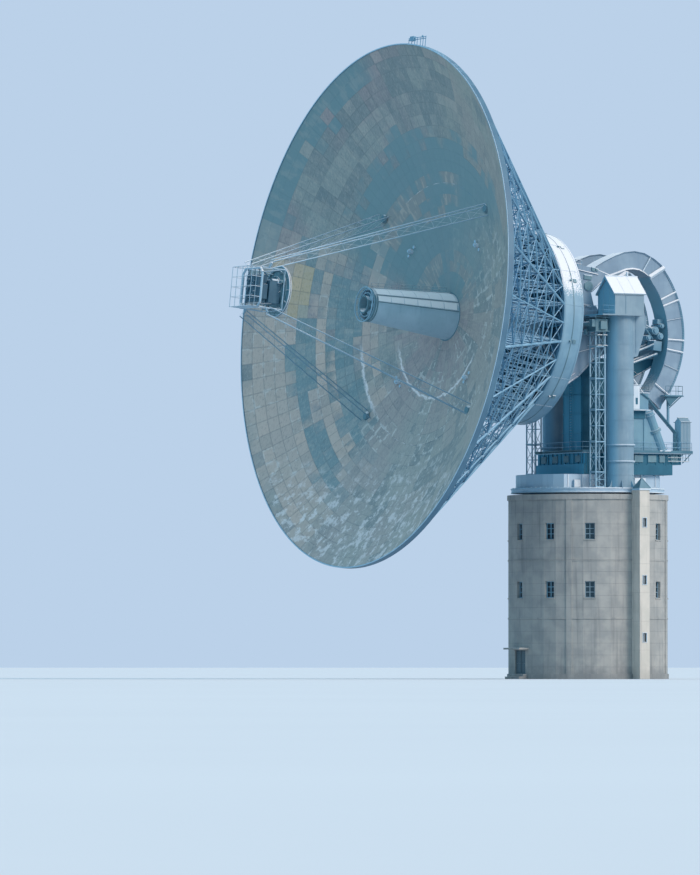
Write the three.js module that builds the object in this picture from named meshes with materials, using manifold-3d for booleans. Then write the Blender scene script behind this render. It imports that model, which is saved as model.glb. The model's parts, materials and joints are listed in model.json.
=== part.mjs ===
// A 64 metre radio telescope dish on a turning two-column mount, cut at half size.
// Every length below is a real length in metres; it becomes millimetres of the model in solidOf.
// The frame: +Z up, the ground at z = 0 on the azimuth axis, the dish faces -Y, elevation axis along X.
import * as THREE from "three";
import { mergeVertices } from "three/addons/utils/BufferGeometryUtils.js";
import Module from "manifold-3d";

const wasm = await Module();
wasm.setup();

const modelScale = 1 / 2;
const unit = 1000 * modelScale;
const gap = 0.3 / unit;

// Fixed base tower
const towerRadius = 9.8;
const towerWall = 0.6;
const towerFacets = 36;
const foundationTop = 0.6;
const roofBottom = 21.9;
const roofTop = 22.5;
const railTop = 22.65;
const railInner = 7.5;
const railOuter = 8.1;
const floorThickness = 0.4;
const floorLevels = [7.7, 14.8];
const windowWidth = 1.2;
const windowHeight = 2.0;
const windowSill = 2.2;
const doorWidth = 2.4;
const doorHeight = 2.9;
const liftCentre = { x: 10.9, y: 1.0 };
const liftWidth = 1.4;
const liftEaves = 23.2;
const liftApex = 24.5;
const liftSlots = [4.5, 11.5, 18.5];
const liftSlotWidth = 0.5;
const liftSlotHeight = 1.1;

// Turning mount
const axisHeight = 42;
const discRadius = 9.4;
const discTop = 23.3;
const drumRadius = 8.85;
const drumTop = 25;
const soffitTop = 26.3;
const deckBottom = 27.6;
const deckTop = 27.9;
const bodyHalfWidth = 5.6;
const columnX = 7.5;
const columnRadius = 1.7;
const columnTop = 44.3;
const columnFlanges = [26.5, 28.5];
const houseInner = 5.75;
const houseOuter = 9.75;
const houseEaves = 47.1;
const houseApex = 49.2;
const pierHalfWidth = 2.1;
const pierTop = 39.4;
const ladderLandings = [25.2, 28.9, 32.8, 36.6, 40.5];

// Tilting reflector, in its own frame: origin on the elevation axis, boresight along -Y
const restElevation = THREE.MathUtils.degToRad(6);
const vertexAhead = 20;
const focalLength = 23.4;
const dishRadius = 32;
const dishInner = 2.86;
const dishThickness = 0.1;
const dishFacets = 48;
const sectorCount = 8;
const ringRadius = 11.8;
const ringFront = -10.7;
const ringRear = -7.9;
const ringWall = 0.5;
const coneBase = 2.85;
const coneTip = 2;
const coneLength = 11.5;
const coneWall = 0.15;
const subRadius = 3.1;
const subAhead = 23.85;
const cabinHalf = 2.5;
const cabinFront = 27.6;
const galleryLength = 1.5;
const arcInner = 2.65;
const arcOuter = 5.4;
const shaftRadius = 1.1;
const stubRadius = 0.8;
const stubClearance = 0.035;
const shoulderX = 5.76;
const stubEnd = 8.6;

const finishes = {
  panels: { color: 0x8b9088, roughness: 0.7, metalness: 0.2 },
  truss: { color: 0x8fa3b0, roughness: 0.6, metalness: 0.4 },
  ring: { color: 0xa4b0ba, roughness: 0.6, metalness: 0.3 },
  arcs: { color: 0x97a4b0, roughness: 0.6, metalness: 0.3 },
  mount: { color: 0x8f9fae, roughness: 0.6, metalness: 0.3 },
  dark: { color: 0x2f6076, roughness: 0.7, metalness: 0.2 },
  house: { color: 0x8ba0ab, roughness: 0.6, metalness: 0.3 },
  feed: { color: 0xa8b4bf, roughness: 0.5, metalness: 0.3 },
  concrete: { color: 0xa9a9a4, roughness: 0.9, metalness: 0 },
  render: { color: 0xd8d2c0, roughness: 0.9, metalness: 0 },
  glass: { color: 0x2a3a44, roughness: 0.1, metalness: 0 },
  door: { color: 0x4a5a60, roughness: 0.6, metalness: 0.3 },
};

const materials = Object.fromEntries(
  Object.entries(finishes).map(([name, look]) => [name, new THREE.MeshStandardMaterial(look)]),
);

// A closed three.js geometry in metres as a manifold-3d solid in millimetres of the model.
function solidOf(geometry) {
  const bare = geometry.clone();
  bare.deleteAttribute("normal");
  bare.deleteAttribute("uv");
  bare.scale(unit, unit, unit);
  const merged = mergeVertices(bare, 1e-2);
  const points = merged.attributes.position.array;
  const index = merged.index.array;
  const faces = [];
  let volume = 0;
  const corner = [new THREE.Vector3(), new THREE.Vector3(), new THREE.Vector3()];
  for (let i = 0; i < index.length; i += 3) {
    const [a, b, c] = [index[i], index[i + 1], index[i + 2]];
    if (a === b || b === c || a === c) continue;
    faces.push(a, b, c);
    [a, b, c].forEach((v, k) => corner[k].fromArray(points, 3 * v));
    volume += corner[0].dot(corner[1].clone().cross(corner[2]));
  }
  if (volume < 0) {
    for (let i = 0; i < faces.length; i += 3) {
      [faces[i + 1], faces[i + 2]] = [faces[i + 2], faces[i + 1]];
    }
  }
  return new wasm.Manifold(
    new wasm.Mesh({ numProp: 3, vertProperties: points, triVerts: new Uint32Array(faces) }),
  );
}

function fuse(solids) {
  return solids.reduce((whole, next) => whole.add(next));
}

function cut(solid, tools) {
  return tools.reduce((left, tool) => left.subtract(tool), solid);
}

function addMesh(group, name, solid, material) {
  const { vertProperties, triVerts } = solid.getMesh();
  const geometry = new THREE.BufferGeometry();
  geometry.setAttribute("position", new THREE.BufferAttribute(vertProperties, 3));
  geometry.setIndex(new THREE.BufferAttribute(triVerts, 1));
  geometry.computeVertexNormals();
  const mesh = new THREE.Mesh(geometry, materials[material]);
  mesh.name = name;
  group.add(mesh);
}

function box(x, y, z) {
  const geometry = new THREE.BoxGeometry(x[1] - x[0], y[1] - y[0], z[1] - z[0]);
  geometry.translate((x[0] + x[1]) / 2, (y[0] + y[1]) / 2, (z[0] + z[1]) / 2);
  return solidOf(geometry);
}

// An outline extruded along an axis: along x the outline is (y, z), along y (x, z), along z (x, y).
function prism(outline, axis, [from, to], holes = []) {
  const shape = new THREE.Shape(outline.map(([u, v]) => new THREE.Vector2(u, v)));
  for (const hole of holes) {
    shape.holes.push(new THREE.Path(hole.map(([u, v]) => new THREE.Vector2(u, v))));
  }
  const geometry = new THREE.ExtrudeGeometry(shape, { depth: to - from, bevelEnabled: false });
  const ex = new THREE.Vector3(1, 0, 0);
  const ey = new THREE.Vector3(0, 1, 0);
  const ez = new THREE.Vector3(0, 0, 1);
  const basis = { x: [ey, ez, ex], y: [ex, ez, ey], z: [ex, ey, ez] }[axis];
  geometry.translate(0, 0, from);
  geometry.applyMatrix4(new THREE.Matrix4().makeBasis(...basis));
  return solidOf(geometry);
}

// A profile of [radius, y] points turned round the dish axis; it closes on itself or ends on the axis.
function turned(profile, facets) {
  const points = profile.map(([r, y]) => new THREE.Vector2(r, y));
  if (profile[0][0] > 0) points.push(points[0].clone());
  return solidOf(new THREE.LatheGeometry(points, facets));
}

// The same profile as [radius, z] points turned round the vertical axis.
function turnedUpright(profile, facets) {
  const points = profile.map(([r, z]) => new THREE.Vector2(r, z));
  if (profile[0][0] > 0) points.push(points[0].clone());
  const geometry = new THREE.LatheGeometry(points, facets);
  geometry.rotateX(Math.PI / 2);
  return solidOf(geometry);
}

// A convex outline with every edge moved inwards.
function inset(corners, distance) {
  const points = corners.map(([u, v]) => new THREE.Vector2(u, v));
  const turn = Math.sign(THREE.ShapeUtils.area(points));
  const edges = points.map((point, i) => {
    const along = points[(i + 1) % points.length].clone().sub(point).normalize();
    const inwards = new THREE.Vector2(-along.y, along.x).multiplyScalar(turn * distance);
    return { point: point.clone().add(inwards), along };
  });
  return edges.map((edge, i) => {
    const before = edges[(i + points.length - 1) % points.length];
    const between = edge.point.clone().sub(before.point);
    const t = between.cross(edge.along) / before.along.cross(edge.along);
    return before.point.clone().addScaledVector(before.along, t).toArray();
  });
}

// A straight bar of few sides between two points; a beam ends at them, a bar runs a little past.
function beam(a, b, radius, sides = 3) {
  return bar(a, b, radius, sides, 0);
}

function bar(a, b, radius, sides = 3, past = radius) {
  const start = new THREE.Vector3(...a);
  const end = new THREE.Vector3(...b);
  const along = end.clone().sub(start);
  const geometry = new THREE.CylinderGeometry(radius, radius, along.length() + past, sides);
  geometry.applyQuaternion(
    new THREE.Quaternion().setFromUnitVectors(new THREE.Vector3(0, 1, 0), along.normalize()),
  );
  const middle = start.add(end).multiplyScalar(0.5);
  geometry.translate(middle.x, middle.y, middle.z);
  return solidOf(geometry);
}

function mirrorX(outline) {
  return outline.map(([x, y]) => [-x, y]);
}

function circle(radius, facets, turn = 0) {
  return Array.from({ length: facets }, (_, i) => {
    const angle = turn + (2 * Math.PI * i) / facets;
    return [radius * Math.cos(angle), radius * Math.sin(angle)];
  });
}

// Base tower: walls in quarters, with windows on the upper storeys and one doorway. The east side has
// no window behind the lift tower.
function buildBase(base) {
  const facet = (2 * Math.PI) / towerFacets;
  const start = -facet / 2;
  const wallTop = roofBottom - gap;

  function quarterRing(centre) {
    const count = towerFacets / 4;
    const outer = [];
    const inner = [];
    for (let i = 0; i <= count; i += 1) {
      const trim = (i === 0 ? gap : i === count ? -gap : 0) / towerRadius;
      const angle = centre + (i - count / 2) * facet + trim;
      outer.push([towerRadius * Math.cos(angle), towerRadius * Math.sin(angle)]);
      inner.unshift([
        (towerRadius - towerWall) * Math.cos(angle),
        (towerRadius - towerWall) * Math.sin(angle),
      ]);
    }
    return [...outer, ...inner];
  }

  function holeThrough(turn, width, bottom, top) {
    const hole = new THREE.BoxGeometry(3, width, top - bottom);
    hole.translate(towerRadius - towerWall / 2, 0, (top + bottom) / 2);
    hole.rotateZ(turn);
    return solidOf(hole);
  }

  addMesh(
    base,
    "foundation",
    prism(circle(towerRadius, towerFacets, start), "z", [0, foundationTop]),
    "concrete",
  );
  const doorway = holeThrough(-Math.PI / 2, doorWidth, foundationTop - 1, foundationTop + doorHeight);
  ["east", "north", "west", "south"].forEach((side, i) => {
    const centre = (i * Math.PI) / 2;
    const windowSteps = side === "east" ? [-3, 3] : [-3, 0, 3];
    const windows = floorLevels.flatMap((level) =>
      windowSteps.map((step) => {
        const sill = level + windowSill;
        return holeThrough(centre + step * facet, windowWidth, sill, sill + windowHeight);
      }),
    );
    const wall = prism(quarterRing(centre), "z", [foundationTop + gap, wallTop]);
    addMesh(base, `tower_wall_${side}`, cut(wall, [...windows, doorway]), "concrete");
  });

  const insideRadius = towerRadius - towerWall - gap;
  floorLevels.forEach((level, i) => {
    const outline = circle(insideRadius, towerFacets, start);
    addMesh(
      base,
      `tower_floor_${i + 1}`,
      prism(outline, "z", [level - floorThickness, level]),
      "concrete",
    );
    const glassBand = [level + windowSill - 0.3, level + windowSill + windowHeight + 0.3];
    const glassOutline = circle(insideRadius, towerFacets, start);
    const glassHole = circle(insideRadius - 0.05, towerFacets, start);
    addMesh(
      base,
      `window_glass_${i + 1}`,
      prism(glassOutline, "z", glassBand, [glassHole]),
      "glass",
    );
  });

  const rail = prism(circle(railOuter, towerFacets, start), "z", [roofTop - 0.01, railTop], [
    circle(railInner, towerFacets, start),
  ]);
  const roof = prism(circle(towerRadius, towerFacets, start), "z", [roofBottom, roofTop]);
  addMesh(base, "tower_roof", roof.add(rail), "concrete");

  const doorFace = towerRadius - towerWall / 2;
  addMesh(
    base,
    "entrance_door",
    box(
      [-doorWidth / 2 + gap, doorWidth / 2 - gap],
      [-doorFace, -doorFace + 0.1],
      [foundationTop + gap, foundationTop + doorHeight - gap],
    ),
    "door",
  );

  // Slim lift tower against the east wall.
  const half = liftWidth / 2;
  const wall = 0.2;
  const north = [liftCentre.y - half, liftCentre.y + half];
  const east = [towerRadius - 1, liftCentre.x + half];
  const shaft = box(east, north, [0, liftEaves]);
  const hollow = box(
    [towerRadius - 0.6, east[1] - wall],
    [north[0] + wall, north[1] - wall],
    [0.3, liftEaves - wall],
  );
  const towerSpace = prism(circle(towerRadius + gap, towerFacets, start), "z", [-1, 30]);
  const slots = liftSlots.map((z) =>
    box(
      [east[1] - 1, east[1] + 1],
      [liftCentre.y - liftSlotWidth / 2, liftCentre.y + liftSlotWidth / 2],
      [z, z + liftSlotHeight],
    ),
  );
  addMesh(base, "lift_tower", cut(shaft, [hollow, towerSpace, ...slots]), "render");
  const eave = 0.12;
  const pyramid = new THREE.ConeGeometry((half + eave) * Math.SQRT2, liftApex - liftEaves, 4);
  pyramid.rotateX(Math.PI / 2);
  pyramid.rotateZ(Math.PI / 4);
  pyramid.translate(liftCentre.x, liftCentre.y, (liftApex + liftEaves) / 2 + gap);
  addMesh(base, "lift_tower_roof", solidOf(pyramid), "house");
}

// Turning mount: turntable, platform, columns, bearing houses, pier and side frames.
function buildMount(mount) {
  const disc = turnedUpright(
    [
      [0, discTop],
      [discRadius, discTop],
      [discRadius, railTop + 0.15],
      [railOuter, railTop + 0.15],
      [railOuter, railTop + gap],
      [railInner, railTop + gap],
      [railInner, railTop + 0.15],
      [0, railTop + 0.15],
    ],
    36,
  );
  const drum = prism(circle(drumRadius, 36), "z", [discTop - 0.05, drumTop]).intersect(
    box([-bodyHalfWidth, bodyHalfWidth], [-10, 10], [discTop - 0.05, drumTop]),
  );
  addMesh(mount, "turntable", disc.add(drum), "mount");

  // Plan of the platform: narrow between the columns, wider behind them.
  function plan(front, rear, wide) {
    const right = [
      [bodyHalfWidth, front],
      [bodyHalfWidth, 2.3],
      [wide, 2.3],
      [wide, rear],
    ];
    return [...right, ...mirrorX(right).reverse()];
  }
  const soffit = prism(plan(-4, 8.4, 6.2), "z", [drumTop + gap, soffitTop]);
  const rooms = prism(plan(-3.8, 9.7, 6.1), "z", [soffitTop - 0.01, deckBottom - gap]);
  addMesh(mount, "platform_rooms", soffit.add(rooms), "dark");
  addMesh(
    mount,
    "platform_deck",
    prism(plan(-4.2, 11.1, 6.6), "z", [deckBottom, deckTop]),
    "mount",
  );

  const rearHouse = prism(
    [
      [5, deckTop + gap],
      [6.4, deckTop + gap],
      [6.4, 31.6],
      [5.7, 32.1],
      [5, 31.6],
    ],
    "y",
    [9.5, 10.9],
  );
  addMesh(mount, "rear_stair_head", rearHouse, "house");

  const pier = box([-pierHalfWidth, pierHalfWidth], [-2.2, 2.4], [deckTop + gap, 38.7]);
  const bracket = prism(
    [
      [-2.2, 38.6],
      [2.3, 35.4],
      [8.9, 38.9],
      [8.9, pierTop],
      [-2.2, pierTop],
    ],
    "x",
    [-2, 2],
  );
  addMesh(mount, "central_pier", pier.add(bracket), "dark");
  const drives = [-1.25, 1.25].flatMap((x) => [
    box([x - 0.8, x + 0.8], [6.3, 8.7], [pierTop + gap, 41]),
    bar([x, 7.4, 40.9], [x, 7.4, 42.6], 0.6, 12),
  ]);
  drives.push(box([-1.25, 1.25], [6.6, 8.4], [pierTop + gap, 40]));
  addMesh(mount, "elevation_drives", fuse(drives), "mount");

  for (const [side, sign] of [
    ["right", 1],
    ["left", -1],
  ]) {
    const across = (a, b) => (sign > 0 ? [a, b] : [-b, -a]);

    const column = new THREE.CylinderGeometry(columnRadius, columnRadius, columnTop - discTop - gap, 20);
    column.rotateX(Math.PI / 2);
    column.translate(sign * columnX, 0, (columnTop + discTop + gap) / 2);
    const flanges = columnFlanges.map((z) => {
      const flange = new THREE.CylinderGeometry(columnRadius + 0.15, columnRadius + 0.15, 0.16, 20);
      flange.rotateX(Math.PI / 2);
      flange.translate(sign * columnX, 0, z);
      return solidOf(flange);
    });
    const flare = prism(
      [
        [0, 39],
        [1.85, 39.4],
        [3.1, 43.4],
        [3.1, columnTop],
        [0, columnTop],
      ],
      "x",
      across(6.3, 8.7),
    );
    const boss = new THREE.CylinderGeometry(1.35, 1.35, 1.4, 16);
    boss.rotateZ(Math.PI / 2);
    boss.translate(sign * (shoulderX + gap + 0.7), 0, axisHeight);
    const bore = new THREE.CylinderGeometry(
      stubRadius + stubClearance,
      stubRadius + stubClearance,
      4,
      16,
    );
    bore.rotateZ(Math.PI / 2);
    bore.translate(sign * (stubEnd + 0.1 - 2), 0, axisHeight);
    addMesh(
      mount,
      `column_${side}`,
      cut(fuse([solidOf(column), ...flanges, flare, solidOf(boss)]), [solidOf(bore)]),
      "mount",
    );

    const eaveEdge = 0.15;
    const ridgeX = (houseInner + houseOuter) / 2;
    const house = prism(
      [
        [sign * houseInner, columnTop + gap],
        [sign * houseOuter, columnTop + gap],
        [sign * houseOuter, houseEaves],
        [sign * ridgeX, houseApex - eaveEdge],
        [sign * houseInner, houseEaves],
      ],
      "y",
      [-2.05, 2.1],
    );
    const roof = prism(
      [
        [sign * (houseInner - eaveEdge), houseEaves - 0.1],
        [sign * ridgeX, houseApex],
        [sign * (houseOuter + eaveEdge), houseEaves - 0.1],
        [sign * (houseOuter + eaveEdge), houseEaves - 0.25],
        [sign * ridgeX, houseApex - 0.4],
        [sign * (houseInner - eaveEdge), houseEaves - 0.25],
      ],
      "y",
      [-2.3, 2.35],
    );
    const galleryX = across(houseInner - eaveEdge, houseOuter + eaveEdge);
    const gallery = box(galleryX, [-3.9, 2.1], [columnTop + gap, columnTop + 0.15]);
    addMesh(mount, `bearing_house_${side}`, fuse([house, roof, gallery]), "house");

    // Ladder tower in front of the column, with a machinery box at its top.
    const posts = [6.85, 8.15].flatMap((x) =>
      [-3.85, -2.55].map((y) =>
        box(across(x - 0.07, x + 0.07), [y - 0.07, y + 0.07], [discTop + gap, columnTop - gap]),
      ),
    );
    const rectangle = (grow) => {
      const [x0, x1] = across(6.78 - grow, 8.22 + grow);
      const [y0, y1] = [-3.92 - grow, -2.48 + grow];
      return [
        [x0, y0],
        [x1, y0],
        [x1, y1],
        [x0, y1],
      ];
    };
    const landings = ladderLandings.map((z) =>
      prism(rectangle(0.02), "z", [z, z + 0.16], [rectangle(-0.12)]),
    );
    const unitBox = box(across(6.3, 8.7), [-4.2, -2.3], [42.4, 44]);
    addMesh(mount, `ladder_tower_${side}`, fuse([...posts, ...landings, unitBox]), "truss");

    // Side frame behind the column: web plate, cabin, bent strut, balcony and inclined tube.
    const web = prism(
      [
        [2.2, deckTop + gap],
        [6.5, deckTop + gap],
        [5.5, 33],
        [2.2, 33],
      ],
      "x",
      across(5.95, 6.25),
    );
    const cabin = box(across(5.5, 7.1), [2.2, 3.1], [32.95, 35.95]);
    const annex = box(across(5.5, 6.9), [3, 4.5], [32.95, 35]);
    const strut = prism(
      [
        [1.9, 37.6],
        [4.2, 34.9],
        [8.9, 30.2],
        [8.9, deckTop + gap],
        [9.3, deckTop + gap],
        [9.3, 30.3],
        [4.5, 35.2],
        [2.2, 37.9],
      ],
      "x",
      across(5.5, 5.75),
    );
    const balcony = box(across(5.5, 6.6), [7.1, 9.7], [34.7, 34.85]);
    const post = box(across(5.5, 5.75), [8, 8.25], [31, 34.8]);
    const tube = bar([sign * 6.05, 5.1, 32.4], [sign * 6.05, 7.1, 27.6], 0.6, 12);
    const belowDeck = box([-8, 8], [-5, 12], [20, deckTop + gap]);
    addMesh(
      mount,
      `side_frame_${side}`,
      cut(fuse([web, cabin, annex, strut, balcony, post, tube]), [belowDeck]),
      "mount",
    );
  }
}

// The reflector: panels in sectors on ribs, the ring girder, hub, arcs, shaft and feed.
function buildReflector(reflector) {
  const dishY = (r) => -(vertexAhead + (r * r) / (4 * focalLength));
  const backY = (r) => dishY(r) + dishThickness;
  const radii = [dishInner, 7, 12, 17, 22, 27, dishRadius];
  const sectorAngle = (2 * Math.PI) / sectorCount;

  // A point at a radius, a place along the axis and an angle from straight up towards +X.
  const polar = (r, y, angle) => [r * Math.sin(angle), y, r * Math.cos(angle)];

  // A flat outline of [radius, y] points as a plate in the radial plane at an angle.
  function radial(outline, holes, angle) {
    const shape = new THREE.Shape(outline.map(([r, y]) => new THREE.Vector2(r, y)));
    for (const hole of holes) {
      shape.holes.push(new THREE.Path(hole.map(([r, y]) => new THREE.Vector2(r, y))));
    }
    const depth = 2 * ribHalfThickness;
    const geometry = new THREE.ExtrudeGeometry(shape, { depth, bevelEnabled: false });
    geometry.translate(0, 0, -ribHalfThickness);
    geometry.rotateY(angle - Math.PI / 2);
    return solidOf(geometry);
  }

  function wedge(k) {
    const angle = k * sectorAngle;
    const shift = gap / 2 / Math.sin(sectorAngle / 2);
    const reach = 45;
    const apex = [shift * Math.sin(angle), shift * Math.cos(angle)];
    const corner = (side) => [
      apex[0] + reach * Math.sin(angle + (side * sectorAngle) / 2),
      apex[1] + reach * Math.cos(angle + (side * sectorAngle) / 2),
    ];
    return prism([apex, corner(-1), corner(1)], "y", [-60, 0]);
  }

  const lip = [
    [dishRadius, dishY(dishRadius) + 0.7],
    [dishRadius - 0.15, dishY(dishRadius) + 0.7],
    [dishRadius - 0.15, backY(dishRadius - 0.15)],
  ];
  const inwards = radii.slice(0, -1).reverse();
  const shell = turned(
    [...radii.map((r) => [r, dishY(r)]), ...lip, ...inwards.map((r) => [r, backY(r)])],
    dishFacets,
  );
  // Each rib is a flat lattice girder in a radial plane; its upper edge follows the panels' backs.
  const midFacet = Math.cos(Math.PI / dishFacets);
  const ribAngle = sectorAngle / 4;
  const ribHalfThickness = 0.15;
  const onBack = (r) => [r * midFacet, backY(r) + gap];
  const foot = [
    [ringRadius * midFacet, ringFront - gap],
    [ringRadius - 1, ringFront - gap],
  ];
  const tip = [31.5 * midFacet, backY(31.5) + 0.6];
  const lowerAt = (r) => [
    r,
    THREE.MathUtils.mapLinear(r, foot[0][0], tip[0], foot[0][1], tip[1]),
  ];
  const ribOutline = [
    ...foot,
    ...[4.5, 7, 12, 17, 22, 27, 31.5].map(onBack),
    tip,
  ];
  const bays = [12, 18.7, 25.3, 31.5];
  const webHalf = 0.2;
  const webTaper = 0.006;
  const ribHoles = [
    [foot[1], onBack(4.5), onBack(bays[0])],
    [lowerAt(12.3), onBack(bays[0]), onBack(bays[1])],
    [lowerAt(12.3), onBack(bays[1]), lowerAt(bays[1])],
    [lowerAt(bays[1]), onBack(bays[1]), onBack(bays[2])],
    [lowerAt(bays[1]), onBack(bays[2]), lowerAt(bays[2])],
    [lowerAt(bays[2]), onBack(bays[2]), tip],
  ].map((corners, i) => inset(corners, webHalf - webTaper * i));
  const hoopRadius = 0.17;
  const hoopEndRadius = 0.15;
  const hoopSeat = 0.1;
  for (let k = 0; k < sectorCount; k += 1) {
    addMesh(reflector, `dish_panels_${k + 1}`, shell.intersect(wedge(k)), "panels");

    const centre = k * sectorAngle;
    const parts = [-1, 1].map((side) => radial(ribOutline, ribHoles, centre + side * ribAngle));
    for (const r of [bays[1], bays[2], 31]) {
      const [radius, y] = lowerAt(r);
      const trim = gap / 2 / (2 * radius);
      const middle = (side) =>
        polar(radius * Math.cos(ribAngle), y - hoopSeat, centre + side * (2 * ribAngle - trim));
      const onRib = (side) => polar(radius, y - hoopSeat, centre + side * ribAngle);
      parts.push(beam(onRib(-1), onRib(1), hoopRadius));
      for (const side of [-1, 1]) {
        const intoRib = onRib(side).map((v, i) => THREE.MathUtils.lerp(middle(side)[i], v, 1.02));
        parts.push(beam(middle(side), intoRib, hoopEndRadius));
      }
    }
    addMesh(reflector, `back_truss_${k + 1}`, fuse(parts), "truss");
  }

  const ring = turned(
    [
      [0, ringRear],
      [ringRadius, ringRear],
      [ringRadius, ringFront],
      [ringRadius - ringWall, ringFront],
      [ringRadius - ringWall, ringRear - 0.3],
      [0, ringRear - 0.3],
    ],
    dishFacets,
  );
  addMesh(reflector, "ring_girder", ring, "ring");

  const tubeFront = -vertexAhead + 0.1;
  addMesh(
    reflector,
    "receiver_tube",
    turned(
      [
        [coneBase, ringRear - 0.3 - gap],
        [coneBase, tubeFront],
        [coneBase - coneWall, tubeFront],
        [coneBase - coneWall, ringRear - 0.3 - gap],
      ],
      24,
    ),
    "feed",
  );
  const coneStart = tubeFront - gap;
  const coneEnd = -vertexAhead - coneLength;
  const coneInner = (y) =>
    THREE.MathUtils.mapLinear(y, coneStart, coneEnd, coneBase - coneWall, coneTip - coneWall);
  addMesh(
    reflector,
    "feed_cone",
    turned(
      [
        [coneBase, coneStart],
        [coneTip, coneEnd],
        [coneTip - coneWall, coneEnd],
        [coneBase - coneWall, coneStart],
      ],
      24,
    ),
    "feed",
  );
  const plate = [coneEnd + 0.9, coneEnd + 0.5];
  addMesh(
    reflector,
    "feed_horns",
    turned(
      [
        [0, plate[0]],
        [coneInner(plate[0]) - gap, plate[0]],
        [coneInner(plate[1]) - gap, plate[1]],
        [0.95, plate[1]],
        [1.1, coneEnd - 0.5],
        [0.95, coneEnd - 0.5],
        [0.6, plate[1]],
        [0, plate[1]],
      ],
      24,
    ),
    "dark",
  );

  const subY = -(vertexAhead + subAhead);
  addMesh(
    reflector,
    "sub_reflector",
    turned(
      [
        [0, subY + 0.45],
        [1.1, subY + 0.38],
        [2.2, subY + 0.2],
        [subRadius, subY + 0.1],
        [subRadius, subY - 0.15],
        [1.7, subY - 0.55],
        [0, subY - 0.55],
      ],
      24,
    ),
    "panels",
  );

  // The cabin behind the sub-reflector: a framed box with machinery and an outer gallery rail.
  const cabinRear = subY - 0.55 - gap;
  const cabinEnd = -(vertexAhead + cabinFront);
  const galleryEnd = cabinEnd - galleryLength;
  const cabinBar = 0.18;
  const square = (half) => [
    [-half, -half],
    [half, -half],
    [half, half],
    [-half, half],
  ];
  const cabin = [cabinRear, cabinEnd + cabinBar, galleryEnd + cabinBar].map((y) =>
    prism(square(cabinHalf), "y", [y - cabinBar, y], [square(cabinHalf - cabinBar)]),
  );
  const postFace = cabinHalf - 0.02;
  const cornerPost = [cabinHalf - 0.16, postFace];
  const spans = [cornerPost, cornerPost.map((v) => -v).reverse()];
  for (const spanX of spans) {
    for (const spanZ of spans) {
      cabin.push(box(spanX, [galleryEnd + 0.05, cabinRear - 0.05], spanZ));
    }
  }
  const shelf = cabinHalf - 0.05;
  cabin.push(box([-shelf, shelf], [cabinEnd + 0.03, cabinEnd + 0.15], [-0.9, 0.9]));
  cabin.push(box([-1.5, 1.5], [cabinEnd + 0.1, cabinRear], [-1.6, 1.6]));
  addMesh(reflector, "feed_cabin", fuse(cabin), "truss");

  // Four twin-bar legs from the dish to the cabin corners.
  const footRadius = 17.3;
  const footAngle = Math.PI / 4;
  const legSpread = 0.45;
  const cabinClear = cabinHalf + 0.4;
  const behindPanels = turned(
    [
      [0, dishY(0) - gap],
      ...radii.map((r) => [r, dishY(r) - gap]),
      [dishRadius, 0],
      [0, 0],
    ],
    dishFacets,
  );
  const cabinSpace = [-postFace - gap, postFace + gap];
  const aroundCabin = box(cabinSpace, [galleryEnd - 1, subY + 1], cabinSpace);
  [1, 3, 5, 7].forEach((quadrant, i) => {
    const angle = quadrant * footAngle;
    const sx = Math.sin(angle) > 0 ? 1 : -1;
    const sz = Math.cos(angle) > 0 ? 1 : -1;
    const foot = (side) => {
      const turn = angle + (side * legSpread * 1.6) / footRadius;
      return polar(footRadius, dishY(footRadius) - 0.05, turn);
    };
    const head = (side) => {
      const shift = sz * sx * side * legSpread * 0.7;
      return [sx * (cabinClear - shift), cabinEnd + 0.9, sz * (cabinClear + shift)];
    };
    const blend = (side, t) => foot(side).map((v, k) => THREE.MathUtils.lerp(v, head(side)[k], t));
    const leg = [-1, 1].map((side) => bar(foot(side), head(side), 0.14, 4));
    for (const t of [0, 0.25, 0.5, 0.75, 1]) {
      leg.push(bar(blend(-1, t), blend(1, t), 0.1, 3));
    }
    const shoe = bar(
      polar(footRadius, dishY(footRadius) - 0.35, angle),
      polar(footRadius, dishY(footRadius) + 0.3, angle),
      0.8,
      6,
    );
    leg.push(shoe);
    leg.push(
      bar(
        [sx * (postFace - 0.1), cabinEnd + 0.9, sz * (postFace - 0.1)],
        [sx * (cabinClear + 0.2), cabinEnd + 0.9, sz * (cabinClear + 0.2)],
        0.12,
        4,
      ),
    );
    addMesh(reflector, `feed_leg_${i + 1}`, cut(fuse(leg), [behindPanels, aroundCabin]), "truss");
  });

  // Hub between the ring and the elevation shaft, with the neck that carries the arcs.
  const rear = ringRear + gap;
  const arcSeat = [
    [-0.8, 7.3],
    [-3.3, 7.95],
  ];
  const cheek = [
    [rear, -8.5],
    [-4.2, -5.6],
    [-1.6, -2.6],
    [0.9, -1.8],
    [1.6, 0],
    [0.9, 1.8],
    [-1.5, 2.5],
    [-2.8, 3.4],
    [-3.4, 5],
    [-2.2, 6.3],
    ...arcSeat,
    [rear, 8.2],
  ];
  const cheeks = [1, -1].map((sign) =>
    prism(cheek, "x", sign > 0 ? [arcInner, arcOuter] : [-arcOuter, -arcInner]),
  );
  const cross = box([-arcInner - 0.1, arcInner + 0.1], [rear, -5.2], [-6, 6]);
  const tie = box([-arcInner - 0.1, arcInner + 0.1], [rear, -3.6], [7.2, 8]);
  const throughHub = new THREE.CylinderGeometry(shaftRadius + gap, shaftRadius + gap, 14, 16);
  throughHub.rotateZ(Math.PI / 2);
  addMesh(
    reflector,
    "hub_frame",
    cut(fuse([...cheeks, cross, tie]), [solidOf(throughHub)]),
    "arcs",
  );

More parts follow.
